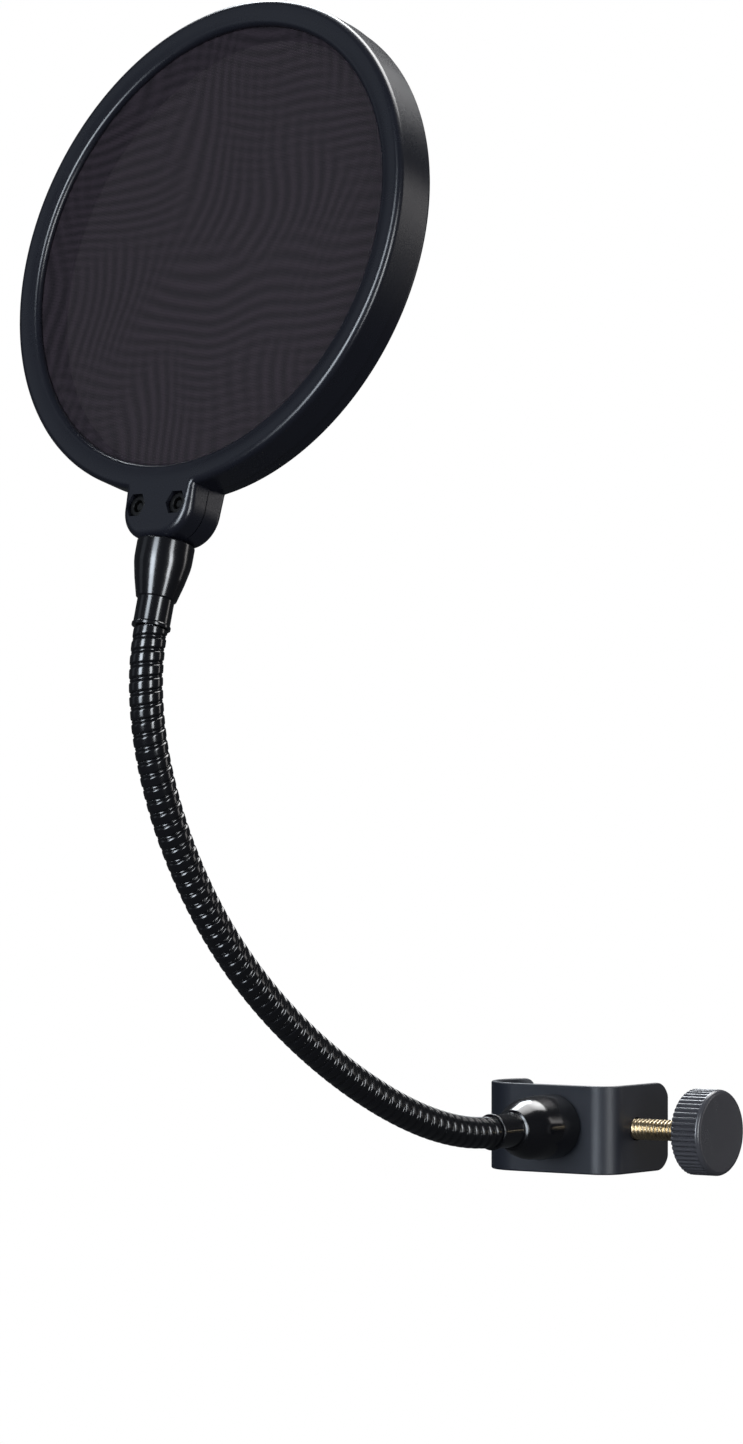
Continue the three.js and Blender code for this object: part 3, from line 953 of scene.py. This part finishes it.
@dataclass(frozen=True)
class Thumbscrew:
    """The brass screw, its knob and the pad on its tip."""

    screw_radius: float = 0.00305
    pitch: float = 0.00127
    thread_depth: float = 0.00062
    tip_radius: float = 0.0023
    tip_length: float = 0.0034
    knob_radius: float = 0.0123
    ridges: int = 50
    ridge_depth: float = 0.0007
    face_dish: float = 0.00012
    pad_radius: float = 0.0055

    def place(self) -> Placement:
        """Returns the frame whose third axis is the row's X, on the screw's axis."""
        return Placement(np.zeros(3), np.array([[0.0, 1, 0], [0, 0, 1], [1, 0, 0]]))

    def build_screw(self) -> None:
        """Builds the threaded rod.

        The radius at height h and angle a depends on the phase h / pitch - a / turn: a
        trapezium with flat crests and roots, which fades in over the first turn.
        """
        low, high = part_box("clamp_screw")
        steps = 12
        start, end = low.x, high.x
        shoulder = start + self.tip_length
        heights = np.arange(shoulder, end, self.pitch / steps)
        angle = np.linspace(0, TAU, 48, endpoint=False)
        phase = (heights[:, None] / self.pitch - angle / TAU) % 1
        flank = np.clip((np.abs(phase - 0.5) - 0.07) / 0.34, 0, 1)
        fade = np.clip((heights - shoulder) / self.pitch, 0, 1)[:, None]
        radius = self.screw_radius - self.thread_depth * (flank * fade + (1 - fade))
        tip = rounded([
            (self.tip_radius * 0.72, start, 0), (self.tip_radius, start + 0.0006, 0.0003),
            (self.tip_radius, shoulder - 0.0002, 0),
        ], 4)
        local_tip = tip[:, :1] + 0 * angle
        radii = np.concatenate([local_tip, radius])
        tall = np.concatenate([tip[:, 1], heights])[:, None] + 0 * angle
        local = np.stack([radii * np.cos(angle), radii * np.sin(angle), tall], -1)
        seat(skin("thread", self.place().world(local)), Finish.BRASS, "thumbscrew", "clamp_screw")

    def build_knob(self) -> None:
        """Builds the knob: a drum with an eased rim whose wall rises and falls once a ridge.

        The ridge is the square of a cosine to a low power, so crests are broad and grooves
        narrow, and it fades out towards the smooth front rim.
        """
        low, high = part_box("thumb_knob")
        length = high.x - low.x
        full = self.knob_radius
        back = [(0.0034, 0, 0), (0.0062, 0, 0.0004), (full - 0.0008, 0, 0.0004), (full, 0.0008, 0.0005)]
        front = [(full, length, 0.0013), (0.0030, length, 0)]
        profile = rounded([*back, *front], 9)
        profile = self._split(profile, 0.0004)
        angle = np.linspace(0, TAU, self.ridges * 12, endpoint=False)
        crest = (0.5 - 0.5 * np.cos(angle * self.ridges)) ** 2.2
        height = profile[:, 1]
        wall = np.clip((profile[:, 0] - (full - 0.0012)) / 0.0006, 0, 1)
        run = np.clip((length - 0.0012 - height) / 0.0005, 0, 1) * wall
        radius = profile[:, :1] - self.ridge_depth * run[:, None] * crest
        hollow = 1 - np.clip(profile[:, 0] / (full * 0.9), 0, 1) ** 2
        dish = np.where(height > length * 0.9, self.face_dish * hollow, 0)
        tall = (low.x + height - dish)[:, None] + 0 * angle
        local = np.stack([radius * np.cos(angle), radius * np.sin(angle), tall], -1)
        seat(skin("knob", self.place().world(local)), Finish.KNOB_PLASTIC, "thumbscrew", "thumb_knob")

    def _split(self, profile: Array, step: float) -> Array:
        """Adds points along a profile so that none are further apart than about a step.

        Args:
            profile: (n, 2) points.
            step: the largest spacing.

        Returns:
            (m, 2) points.
        """
        along = np.concatenate([[0], np.cumsum(np.linalg.norm(np.diff(profile, axis=0), axis=1))])
        stations = np.unique(np.concatenate([along, np.arange(0, along[-1], step)]).round(8))
        return np.stack([np.interp(stations, along, profile[:, k]) for k in range(2)], 1)

    def build_pad(self) -> None:
        """Builds the cup and the rubber disc that press on the tube."""
        low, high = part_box("pad_rubber")
        place = along_axis((low.x, 0, 0), (1, 0, 0))
        thick = high.x - low.x
        edge = self.pad_radius - 0.0003
        disc = rounded([(0.0004, 0, 0), (edge, 0, 0.0006), (edge, thick, 0.0001), (0.0004, thick, 0)], 6)
        seat(turned("tube_pad", disc, place, 72), Finish.BLACK_RUBBER, "pad", "pad_rubber")
        low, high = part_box("swivel_pad")
        place = along_axis((low.x, 0, 0), (1, 0, 0))
        back, socket = high.x - low.x, self.tip_radius + 0.00015
        cup = rounded([(0.0004, 0, 0), (self.pad_radius, 0, 0.0002), (self.pad_radius, 0.0017, 0.0005),
                       (socket + 0.0011, back, 0.0003), (socket, back, 0.0001), (socket, back - 0.0025, 0),
                       (0.0004, back - 0.0025, 0)], 6)
        seat(turned("pad_cup", cup, place, 72), Finish.DARK_STEEL, "pad", "swivel_pad")


# ------------------------------------------------------------------ arm


@dataclass(frozen=True)
class Gooseneck:
    """The wound arm: an arc for each link, one after another, in an upright plane."""

    link: float = 0.0179
    turns_deg: tuple[float, ...] = (10, 7, 5, 4, 4, 4.5, 5.5, 6.5, 7.5, 8, 10, 14.5, 20)
    pitch: float = 0.0035
    broad_share: float = 0.76
    broad_radius: float = 0.0045
    root_radius: float = 0.0039
    bead_rise: float = 0.0004
    crown_power: float = 7
    end_gap: float = 0.0002
    blend_margin: float = 0.0012
    around: int = 44
    rows_per_pitch: int = 22

    def start(self) -> Array:
        """Returns the point where the free gooseneck leaves the lower fitting."""
        low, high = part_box("lower_arm_fitting")
        middle = (low + high) / 2
        return np.array([middle.x, low.y, middle.z])

    def line(self, along: Array) -> tuple[Array, Array]:
        """Works out the middle line at distances from its start.

        Within a link of curvature k that starts with heading h, a distance d moves the reach
        by (sin(h + kd) - sin h) / k and the rise by (cos h - cos(h + kd)) / k.

        Args:
            along: distances, in metres.

        Returns:
            Points and in-plane normals, each (n, 3).
        """
        bends = np.radians(self.turns_deg) / self.link
        headings = np.concatenate([[0], np.cumsum(np.radians(self.turns_deg))])
        reach_step = (np.sin(headings[1:]) - np.sin(headings[:-1])) / bends
        rise_step = (np.cos(headings[:-1]) - np.cos(headings[1:])) / bends
        reach0 = np.concatenate([[0], np.cumsum(reach_step)])
        rise0 = np.concatenate([[0], np.cumsum(rise_step)])
        index = np.clip((along / self.link).astype(int), 0, len(bends) - 1)
        bend, heading = bends[index], headings[index]
        now = heading + bend * (along - index * self.link)
        reach = reach0[index] + (np.sin(now) - np.sin(heading)) / bend
        rise = rise0[index] + (np.cos(heading) - np.cos(now)) / bend
        zero = np.zeros_like(now)
        points = self.start() + np.stack([zero, -reach, rise], 1)
        return points, np.stack([zero, np.sin(now), np.cos(now)], 1)

    def wall_radius(self, phase: Array) -> Array:
        """Works out the skin's radius at a phase of the winding.

        A broad wire with a crowned top fills most of the pitch and a fine round wire lies in
        the groove between its turns. Each is a root radius plus a rounded bump: the root of
        one minus a power of the distance from its middle, where half its width is one.

        Args:
            phase: share of the pitch, from 0 to 1.

        Returns:
            The radius at each phase.
        """
        half = self.broad_share / 2
        broad = 1 - np.abs((phase - half) / half) ** self.crown_power
        bead_half = (1 - self.broad_share) / 2
        bead = 1 - ((phase - self.broad_share - bead_half) / bead_half) ** 2
        rise = self.broad_radius - self.root_radius
        return self.root_radius + np.where(
            phase < self.broad_share,
            rise * np.sqrt(np.clip(broad, 0, 1)),
            self.bead_rise * np.sqrt(np.clip(bead, 0, 1)),
        )

    def build(self) -> None:
        """Builds one skin across each hinge, from the middle of a link to the next's.

        A point at angle a lies off the middle line by r cos a to the side and r sin a along
        the line's normal. The winding's phase is distance / pitch - a / turn.
        """
        joints = [j for j in frame["joints"] if j["name"].startswith("arm_")]
        total = self.link * len(self.turns_deg)
        step = self.pitch / self.rows_per_pitch
        angle = np.linspace(0, TAU, self.around, endpoint=False)
        side = np.array([1.0, 0.0, 0.0])
        for number, joint in enumerate(joints, 1):
            first, last = number == 1, number == len(joints)
            begin = self.end_gap if first else (number - 0.5) * self.link
            end = total - self.end_gap if last else (number + 0.5) * self.link
            between = np.arange(math.ceil(begin / step) * step, end, step)
            rows = np.unique(np.concatenate([[begin], between, [end]]))
            points, normal = self.line(rows)
            phase = (rows[:, None] / self.pitch - angle / TAU) % 1
            radius = self.wall_radius(phase)
            rings = (points[:, None]
                     + (radius * np.cos(angle))[..., None] * side
                     + (radius * np.sin(angle))[..., None] * normal[:, None])
            piece = skin(f"winding_{number:02d}", rings)
            dress(piece, Finish.GLOSS_BLACK)
            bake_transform(piece)
            nodes = [f"outer_winding_{number:02d}"] + ([f"outer_winding_{number + 1:02d}"] if last else [])
            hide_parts(*nodes)
            log.info("%s bends between %s and %s", piece.name, joint["parent"], joint["child"])
        for name, node in frame["nodes"].items():
            if name.startswith("inner_spring"):
                dress(node, Finish.SPRING_STEEL)


@dataclass(frozen=True)
class Fittings:
    """The two turned end fittings of the arm."""

    bell_length: float = 0.0231
    gap: float = 0.0003
    seat_rise: float = 0.00022

    def build_lower(self) -> None:
        """Builds the bell on the clamp: base flange, belly, taper, neck and lip."""
        low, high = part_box("lower_arm_fitting")
        middle = (low + high) / 2
        end = high.y - low.y
        profile = rounded([
            (0.0012, 0, 0), (0.0093, 0, 0.0007), (0.0093, 0.0085, 0.012), (0.0086, 0.0155, 0.014),
            (0.0058, 0.0214, 0.0004), (0.0050, 0.02165, 0.0002), (0.0049, 0.0222, 0.0004),
            (0.0049, end - 0.0011, 0.0003), (0.0052, end - 0.0008, 0.0002), (0.0052, end, 0.0003),
            (0.0036, end, 0.0003), (0.0036, end - 0.0012, 0), (0.0006, end - 0.0012, 0),
        ], 10)
        place = along_axis((middle.x, high.y, middle.z), (0, -1, 0))
        seat(turned("lower_bell", profile, place, 128), Finish.GLOSS_BLACK, "clamp", "lower_arm_fitting")

    def build_upper(self, head: Placement, lug_reach: float) -> None:
        """Builds the bell under the head, with the collared stud that goes up into the lug.

        Args:
            head: the filter head's frame.
            lug_reach: distance from the head's centre to the lug's lower end.
        """
        rise = self.bell_length + self.gap + lug_reach
        origin = head.origin - head.basis[2] * rise
        shoulder = self.bell_length + self.seat_rise
        profile = rounded([
            (0.0006, 0.0013, 0), (0.0036, 0.0013, 0), (0.0036, 0.0001, 0.0003), (0.0052, 0.0001, 0.0003),
            (0.0052, 0.0010, 0.0002), (0.0049, 0.0013, 0.0003), (0.0049, 0.0080, 0.0003),
            (0.0054, 0.0081, 0.0002), (0.0067, 0.0131, 0.012), (0.0077, 0.0180, 0.016),
            (0.0077, shoulder, 0.0004), (0.0030, shoulder, 0.0002), (0.0030, rise - 0.0752, 0.0002),
            (0.0044, rise - 0.0752, 0.0002), (0.0044, rise - 0.0730, 0.0003), (0.0006, rise - 0.0730, 0),
        ], 10)
        place = Placement(origin, head.basis)
        seat(turned("upper_bell", profile, place, 128), Finish.GLOSS_BLACK, "arm_end", "upper_arm_fitting")


# ------------------------------------------------------------------ filter head


@dataclass(frozen=True)
class FilterHead:
    """The two ring shells with their lug, the screens, the hoop and the lug's fixings.

    Local X runs to the side, local Y to the rear and local Z up, away from the lug.
    """

    radius: float = 0.0690
    rear_radius: float = 0.0686
    front: float = -0.0066
    rear: float = 0.0066
    seam: float = 0.0018
    gap: float = 0.0003
    lip_radius: float = 0.0618
    crown_radius: float = 0.0668
    bore_radius: float = 0.0669
    lug_half_width: float = 0.0123
    lug_reach: float = 0.0821
    lug_corner: float = 0.0088
    screw_x: float = 0.0073
    screw_z: float = -0.0730
    nut_flats: float = 0.0055
    nut_bore: float = 0.0016
    nut_length: float = 0.0024
    nut_pocket: float = 0.0036
    screw_pocket: float = 0.0025
    screen_radius: float = 0.0664
    front_screen: float = -0.0040
    rear_screen: float = 0.0046

    def place(self) -> Placement:
        """Works out the head's frame.

        Up is the swivel's axis, the front is the way from the rear screen's centre to the
        front screen's, and the centre lies up the axis from the arm's end.

        Returns:
            The frame, with its origin at the middle of the ring.
        """
        swivel = next(j for j in frame["joints"] if j["name"] == "head_swivel")
        up = unit(swivel["axis"])
        screens = ("front_screen", "rear_screen")
        middles = [np.array(sum(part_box(node), Vector()) / 2) for node in screens]
        ahead = middles[0] - middles[1]
        rearwards = -unit(ahead - up * (ahead @ up))
        centre = np.array(swivel["pos_m"]) + up * (Fittings.bell_length + self.gap + self.lug_reach)
        return Placement(centre, np.stack([np.cross(rearwards, up), rearwards, up]))

    def outline(self, radius: float) -> tuple[Array, Array, Array]:
        """Works out the shell's outline seen from the front, lug included.

        It starts at the middle of the lug's lower end and goes round through +X: half the
        flat end, a corner arc, the lug's straight side, the long arc of the rim, and the same
        in reverse. Points sit closer together on the lug.

        Args:
            radius: the rim's radius.

        Returns:
            (n, 2) points (x, z), their outward unit normals, and a share that is 1 on the lug
            and 0 on the rim.
        """
        half, corner, low = self.lug_half_width, self.lug_corner, -self.lug_reach
        meet = math.asin(half / radius)
        flat = np.linspace(0, half - corner, 10, endpoint=False)
        arc = np.linspace(0, math.pi / 2, 18, endpoint=False)
        side = np.linspace(low + corner, -radius * math.cos(meet), 12, endpoint=False)
        rim = meet + (math.pi - meet) * np.concatenate([
            0.02 * np.linspace(0, 1, 8, endpoint=False), np.linspace(0.02, 1, 150)])
        lug = np.concatenate([
            np.stack([flat, np.full_like(flat, low)], 1),
            np.stack([half - corner + corner * np.sin(arc), low + corner - corner * np.cos(arc)], 1),
            np.stack([np.full_like(side, half), side], 1),
        ])
        arch = radius * np.stack([np.sin(rim), -np.cos(rim)], 1)
        right = np.concatenate([lug, arch])
        on_lug = np.concatenate([np.ones(len(lug)), np.zeros(len(arch))])
        points = np.concatenate([right, (right * [-1, 1])[-2:0:-1]])
        on_lug = np.concatenate([on_lug, on_lug[-2:0:-1]])
        tangent = np.roll(points, -1, 0) - np.roll(points, 1, 0)
        tangent /= np.linalg.norm(tangent, axis=1, keepdims=True)
        return points, np.stack([tangent[:, 1], -tangent[:, 0]], 1), on_lug

    def shell(
        self,
        name: str,
        radius: float,
        face: float,
        split: tuple[float, float],
        edges: tuple[float, float],
        lip: float,
        crown: float,
        flange: float,
    ) -> bpy.types.Object:
        """Makes one shell as a loop of rings that share one outline.

        The rings go from the split, along the outer wall, round an eased edge, over the face
        to the lip, round the lip's roll, down to the flange's back and out along the bore.
        The eased edge at angle a lies inward by r (1 - cos a) and short of the face by
        r (1 - sin a). From the crown inwards the face falls by the square of the distance.

        Args:
            name: the piece's name.
            radius: the rim's radius.
            face: depth of the face.
            split: depth where the outer wall ends, on the rim and on the lug.
            edges: radius of the eased edge, on the rim and on the lug.
            lip: radius of the roll at the lip.
            crown: how far the face falls from its crown to the lip.
            flange: depth of the face's back.

        Returns:
            The new object.
        """
        points, normals, on_lug = self.outline(radius)
        away = math.copysign(1.0, face)
        polar = np.arctan2(points[:, 0], -points[:, 1])
        ray = np.stack([np.sin(polar), -np.cos(polar)], 1)
        below = np.clip((-points[:, 1] - radius * 0.985) / 0.006, 0, 1) * on_lug
        edge = edges[0] + (edges[1] - edges[0]) * below * below * (3 - 2 * below)
        split_here = np.where(on_lug > 0.5, split[1], split[0])
        rings: list[Array] = []

        def ring(flat: Array, depth: Array) -> None:
            """Adds one ring from (n, 2) points and their depths."""
            rings.append(np.stack([flat[:, 0], np.broadcast_to(depth, polar.shape), flat[:, 1]], 1))

        ring(points, split_here)
        wall_end = face - away * edge
        for share in (0.04, 0.5, 0.96):
            ring(points, split_here + (wall_end - split_here) * share)
        for angle in np.linspace(0, math.pi / 2, 9):
            ring(points - normals * (edge * (1 - math.cos(angle)))[:, None],
                 face - away * edge * (1 - math.sin(angle)))
        eased = points - normals * edge[:, None]
        roll_start = self.lip_radius + lip
        slope = self.crown_radius - roll_start
        for share in np.linspace(0.03, 1, 14):
            flat = eased + (ray * roll_start - eased) * share
            inward = np.clip((self.crown_radius - np.linalg.norm(flat, axis=1)) / slope, 0, 1)
            ring(flat, face - away * crown * inward**2)
        for angle in np.linspace(math.pi / 28, math.pi / 2, 14):
            ring(ray * (self.lip_radius + lip * (1 - math.sin(angle))),
                 np.full_like(polar, face - away * (crown + lip * (1 - math.cos(angle)))))
        bore = self.bore_radius
        for reach, depth in ((self.lip_radius, flange), (bore, flange), (bore, split[0])):
            ring(ray * reach, np.full_like(polar, depth))
        ring(ray * (bore + 0.0012), split_here)
        return skin(name, self.place().world(np.stack(rings)), Ends.LOOPED)

    def pocket(self, side: int, mouth: float, floor: float, far: float, radius: Array) -> bpy.types.Object:
        """Makes a closed cutter: a pocket of a given outline with the screw's hole behind it.

        Args:
            side: -1 or 1, for the lug screw that it belongs to.
            mouth: depth where the pocket starts, outside the shell.
            floor: depth of the pocket's floor.
            far: depth where the hole ends, beyond the shell.
            radius: the pocket's radius at each angle.

        Returns:
            The cutter.
        """
        angle = np.linspace(0, TAU, len(radius), endpoint=False)
        hole = np.full_like(angle, self.nut_bore)
        rings = [(radius, mouth), (radius, floor), (hole, floor), (hole, far)]
        local = np.stack([
            np.stack([side * self.screw_x + r * np.cos(angle), np.full_like(angle, depth),
                      self.screw_z + r * np.sin(angle)], -1)
            for r, depth in rings
        ])
        return skin("pocket", self.place().world(local))

    def stud_bore(self) -> bpy.types.Object:
        """Makes the cutter for the stud and its collar, 0.3 mm larger than they are."""
        gap = self.gap
        neck, collar = 0.0030 + gap, 0.0044 + gap
        low, high = -0.0752 - gap, -0.0730 + gap
        profile = np.array([(neck, -self.lug_reach - 0.002), (neck, low), (collar, low), (collar, high)])
        return turned("stud_bore", profile, self.place(), 48)

    def build_shells(self) -> None:
        """Builds both shells, with nut pockets in front and screw pockets at the rear."""
        angle = np.linspace(0, TAU, 60, endpoint=False)
        hexagon = hex_radius(angle + math.pi / 6, self.nut_flats + 2 * self.gap)
        counterbore = np.full_like(angle, 0.0031)
        front = self.shell("front_shell", self.radius, self.front, (self.seam, -self.gap / 2),
                           (0.0018, 0.0024), lip=0.0015, crown=0.0004, flange=self.front + 0.0022)
        rear = self.shell("rear_shell", self.rear_radius, self.rear, (self.seam + self.gap, self.gap / 2),
                          (0.0012, 0.0016), lip=0.0010, crown=0.0002, flange=self.rear - 0.0016)
        mouth, floor = self.front - 0.002, self.front + self.nut_pocket
        carve(front, [self.pocket(s, mouth, floor, 0.004, hexagon) for s in (-1, 1)] + [self.stud_bore()])
        mouth, floor = self.rear + 0.002, self.rear - self.screw_pocket
        carve(rear, [self.pocket(s, mouth, floor, -0.004, counterbore) for s in (-1, 1)] + [self.stud_bore()])
        for shell, node in ((front, "front_ring_shell"), (rear, "rear_ring_shell")):
            flatten_shading(shell)
            seat(shell, Finish.HEAD_PLASTIC, "filter_head", node)

    def build_hoop(self) -> None:
        """Builds the channel-shaped hoop between the screens."""
        place = self.place()
        facing = Placement(place.origin, place.basis[[2, 0, 1]])
        low, high = self.front_screen + 0.0005, self.rear_screen - 0.0005
        inner, web, outer = 0.0607, 0.0623, self.screen_radius
        flange_low, flange_high = low + 0.0012, high - 0.0012
        soft, crisp = 0.0004, 0.0002
        profile = rounded([
            (inner, low, soft), (outer, low, crisp), (outer, flange_low, crisp), (web, flange_low, soft),
            (web, flange_high, soft), (outer, flange_high, crisp), (outer, high, crisp), (inner, high, soft),
        ], 4, True)
        hoop = turned("spacer_hoop", profile, facing, 256, Ends.LOOPED)
        seat(hoop, Finish.HEAD_PLASTIC, "filter_head", "screen_spacer_hoop")

    def build_screen(self, name: str, node: str, depth: float, lean: float) -> None:
        """Builds one stretched screen with its weave's map.

        A disc of rings that bows by a tenth of a millimetre at most, so that it catches the
        light as cloth does. Its map holds metres, turned by a small lean, since two layers
        are never laid true to each other.

        Args:
            name: the piece's name.
            node: the node that it stands for.
            depth: the screen's depth.
            lean: the weave's turn, in degrees.
        """
        reach = np.linspace(0.001, self.screen_radius - 0.0002, 34)[:, None]
        c, s = circle_of(128)
        bow = 0.00008 * np.cos(reach * 140) + 0 * c
        local = np.stack([reach * c, depth + bow, reach * s], -1)
        screen = skin(name, self.place().world(local), Ends.OPEN)
        flat = np.concatenate([local.reshape(-1, 3)[:, [0, 2]], [[0.0, 0.0]]])
        turn = math.radians(lean)
        spin = np.array([[math.cos(turn), math.sin(turn)], [-math.sin(turn), math.cos(turn)]])
        layer = screen.data.uv_layers.new(name="weave")
        corner = np.zeros(len(screen.data.loops), int)
        screen.data.loops.foreach_get("vertex_index", corner)
        layer.data.foreach_set("uv", (flat @ spin)[corner].ravel())
        seat(screen, Finish.SCREEN_NYLON, "filter_head", node)

    def build_fixings(self) -> None:
        """Builds the lug's two nuts and two screws."""
        place = self.place()
        for side, word in ((-1, "left"), (1, "right")):
            spot = place.world(np.array([side * self.screw_x, 0.0, self.screw_z]))
            nut_depth = self.front + self.nut_pocket - self.gap - self.nut_length
            behind = Placement(spot + place.basis[1] * nut_depth, place.basis[[0, 2, 1]] * [[1], [-1], [1]])
            nut = nut_surface(f"head_nut_{word}", self.nut_flats, self.nut_bore, self.nut_length, behind)
            seat(nut, Finish.DARK_STEEL, "filter_head", f"lug_nut_{word}")
            seat_depth = self.rear - self.screw_pocket + self.gap
            head = Placement(spot + place.basis[1] * seat_depth, behind.basis)
            tip = self.front + 0.0016 - seat_depth
            screw = recessed_head(f"head_screw_{word}", 0.00275, 0.0020, 0.0013, tip, head, 0.0032)
            seat(screw, Finish.DARK_STEEL, "filter_head", f"lug_screw_{word}")


# ------------------------------------------------------------------ studio


class Softbox(Enum):
    """The studio's lights: bearing from the camera, height, distance, size and power.

    The bearing is in degrees to the right of the camera as seen from the object. The first
    size is the width and the second the height, in metres, and the power is in watts.
    """

    LEFT_STRIP = (-38.0, 12.0, 1.6, (0.52, 1.6), 7.4, (0.83, 0.91, 1.0))
    RIGHT_STRIP = (31.0, 6.0, 1.7, (0.36, 1.3), 4.0, (0.92, 0.96, 1.0))
    LEFT_WALL = (-92.0, 16.0, 1.5, (0.5, 1.5), 0.14, (0.80, 0.89, 1.0))
    RIGHT_WALL = (98.0, 5.0, 2.0, (0.3, 1.4), 0.62, (1.0, 0.97, 0.96))
    TOP_BACK = (140.0, 58.0, 1.3, (1.0, 0.8), 4.6, (1.0, 1.0, 1.0))
    REAR_HIGH = (-168.0, 50.0, 1.6, (0.9, 0.5), 6.0, (0.90, 0.95, 1.0))


@dataclass(frozen=True)
class Studio:
    """Camera, soft lights, a pale floor and a plain pale surround."""

    bearing_deg: float = 36.0
    lens: float = 150.0
    sensor: float = 36.0
    distance: float = 1.730
    side_shift: float = -0.0525
    height: float = 0.117
    aim_height: float = 0.12
    floor_height: float = -0.52
    floor_radius: float = 2.2
    spread: float = math.radians(75)

    def toward_camera(self, degrees: float = 0.0) -> Array:
        """Returns the level direction to the camera, turned to its right by some degrees."""
        angle = math.radians(self.bearing_deg + degrees)
        return np.array([math.sin(angle), -math.cos(angle), 0.0])

    def build_camera(self) -> None:
        """Places a level camera with a long lens in front and to the right of the clamp."""
        low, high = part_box("lower_arm_fitting")
        aim = np.array([(low.x + high.x) / 2, high.y, 0.0])
        across = self.toward_camera(90.0)
        where = aim + across * self.side_shift + self.toward_camera() * self.distance + [0, 0, self.height]
        data = bpy.data.cameras.new("camera")
        data.lens = self.lens
        data.sensor_width = self.sensor
        data.clip_start = 0.05
        data.clip_end = 50.0
        camera = bpy.data.objects.new("camera", data)
        camera.location = where
        camera.rotation_mode = "QUATERNION"
        camera.rotation_quaternion = Vector(-self.toward_camera()).to_track_quat("-Z", "Y")
        bpy.context.scene.collection.objects.link(camera)
        bpy.context.scene.camera = camera

    def build_lights(self) -> None:
        """Hangs the softboxes round the object, each facing its middle."""
        low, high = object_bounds()
        middle = np.array((low + high) / 2)
        for box in Softbox:
            bearing, rise, distance, size, power, colour = box.value
            lift = math.radians(rise)
            way = self.toward_camera(bearing) * math.cos(lift) + np.array([0, 0, math.sin(lift)])
            data = bpy.data.lights.new(box.name.lower(), "AREA")
            data.shape, data.size, data.size_y = "RECTANGLE", *size
            data.energy, data.color = power, colour
            data.spread = self.spread
            light = bpy.data.objects.new(box.name.lower(), data)
            light.location = middle + way * distance
            light.rotation_mode = "QUATERNION"
            light.rotation_quaternion = Vector(-way).to_track_quat("-Z", "Y")
            light.visible_camera = False
            bpy.context.scene.collection.objects.link(light)

    def build_floor(self) -> None:
        """Lays a round pale floor well below the clamp, where a stand's foot would be."""
        c, s = circle_of(96)
        reach = np.linspace(0.05, self.floor_radius, 12)[:, None]
        rings = np.stack([reach * c, reach * s, np.full_like(reach * c, self.floor_height)], -1)
        floor = skin("floor", rings, Ends.OPEN)
        sheet = Sheet("pale_floor")
        mottle = sheet.noise(sheet.object_coordinates(), 6, 4, 0.5)
        tone = sheet.mix(mottle, (0.80, 0.80, 0.80), (0.86, 0.86, 0.86))
        floor.data.materials.append(sheet.finish(
            Base_Color=tone, Roughness=0.8, Emission_Color=tone, Emission_Strength=0.75))
        floor.visible_glossy = False
        floor.visible_diffuse = False
        floor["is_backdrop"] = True

    def build_surround(self) -> None:
        """Makes a white surround for the camera that lights the object only faintly."""
        world = bpy.data.worlds.new("surround")
        bpy.context.scene.world = world
        world.use_nodes = True
        tree = world.node_tree
        tree.nodes.clear()
        path = tree.nodes.new("ShaderNodeLightPath")
        seen, felt = (tree.nodes.new("ShaderNodeBackground") for _ in range(2))
        seen.inputs["Color"].default_value = (1, 1, 1, 1)
        seen.inputs["Strength"].default_value = 1.0
        felt.inputs["Color"].default_value = (0.85, 0.92, 1.0, 1)
        felt.inputs["Strength"].default_value = 0.05
        pick = tree.nodes.new("ShaderNodeMixShader")
        out = tree.nodes.new("ShaderNodeOutputWorld")
        tree.links.new(path.outputs["Is Camera Ray"], pick.inputs[0])
        tree.links.new(felt.outputs[0], pick.inputs[1])
        tree.links.new(seen.outputs[0], pick.inputs[2])
        tree.links.new(pick.outputs[0], out.inputs[0])
        bpy.context.scene.view_settings.view_transform = "Standard"


# ------------------------------------------------------------------ the whole scene


def main() -> None:
    """Builds the studio and every piece in order."""
    logging.basicConfig(level=logging.INFO, format="%(name)s: %(message)s")
    studio = Studio()
    studio.build_camera()
    clamp = Clamp()
    clamp.build_bracket()
    clamp.build_liner()
    clamp.build_fixings()
    thumbscrew = Thumbscrew()
    thumbscrew.build_screw()
    thumbscrew.build_knob()
    thumbscrew.build_pad()
    head = FilterHead()
    fittings = Fittings()
    fittings.build_lower()
    fittings.build_upper(head.place(), head.lug_reach)
    Gooseneck().build()
    head.build_shells()
    head.build_hoop()
    head.build_screen("front_mesh", "front_screen", head.front_screen, 1.6)
    head.build_screen("rear_mesh", "rear_screen", head.rear_screen, 34.0)
    head.build_fixings()
    studio.build_lights()
    studio.build_floor()
    studio.build_surround()


if __name__ == "__main__":
    main()
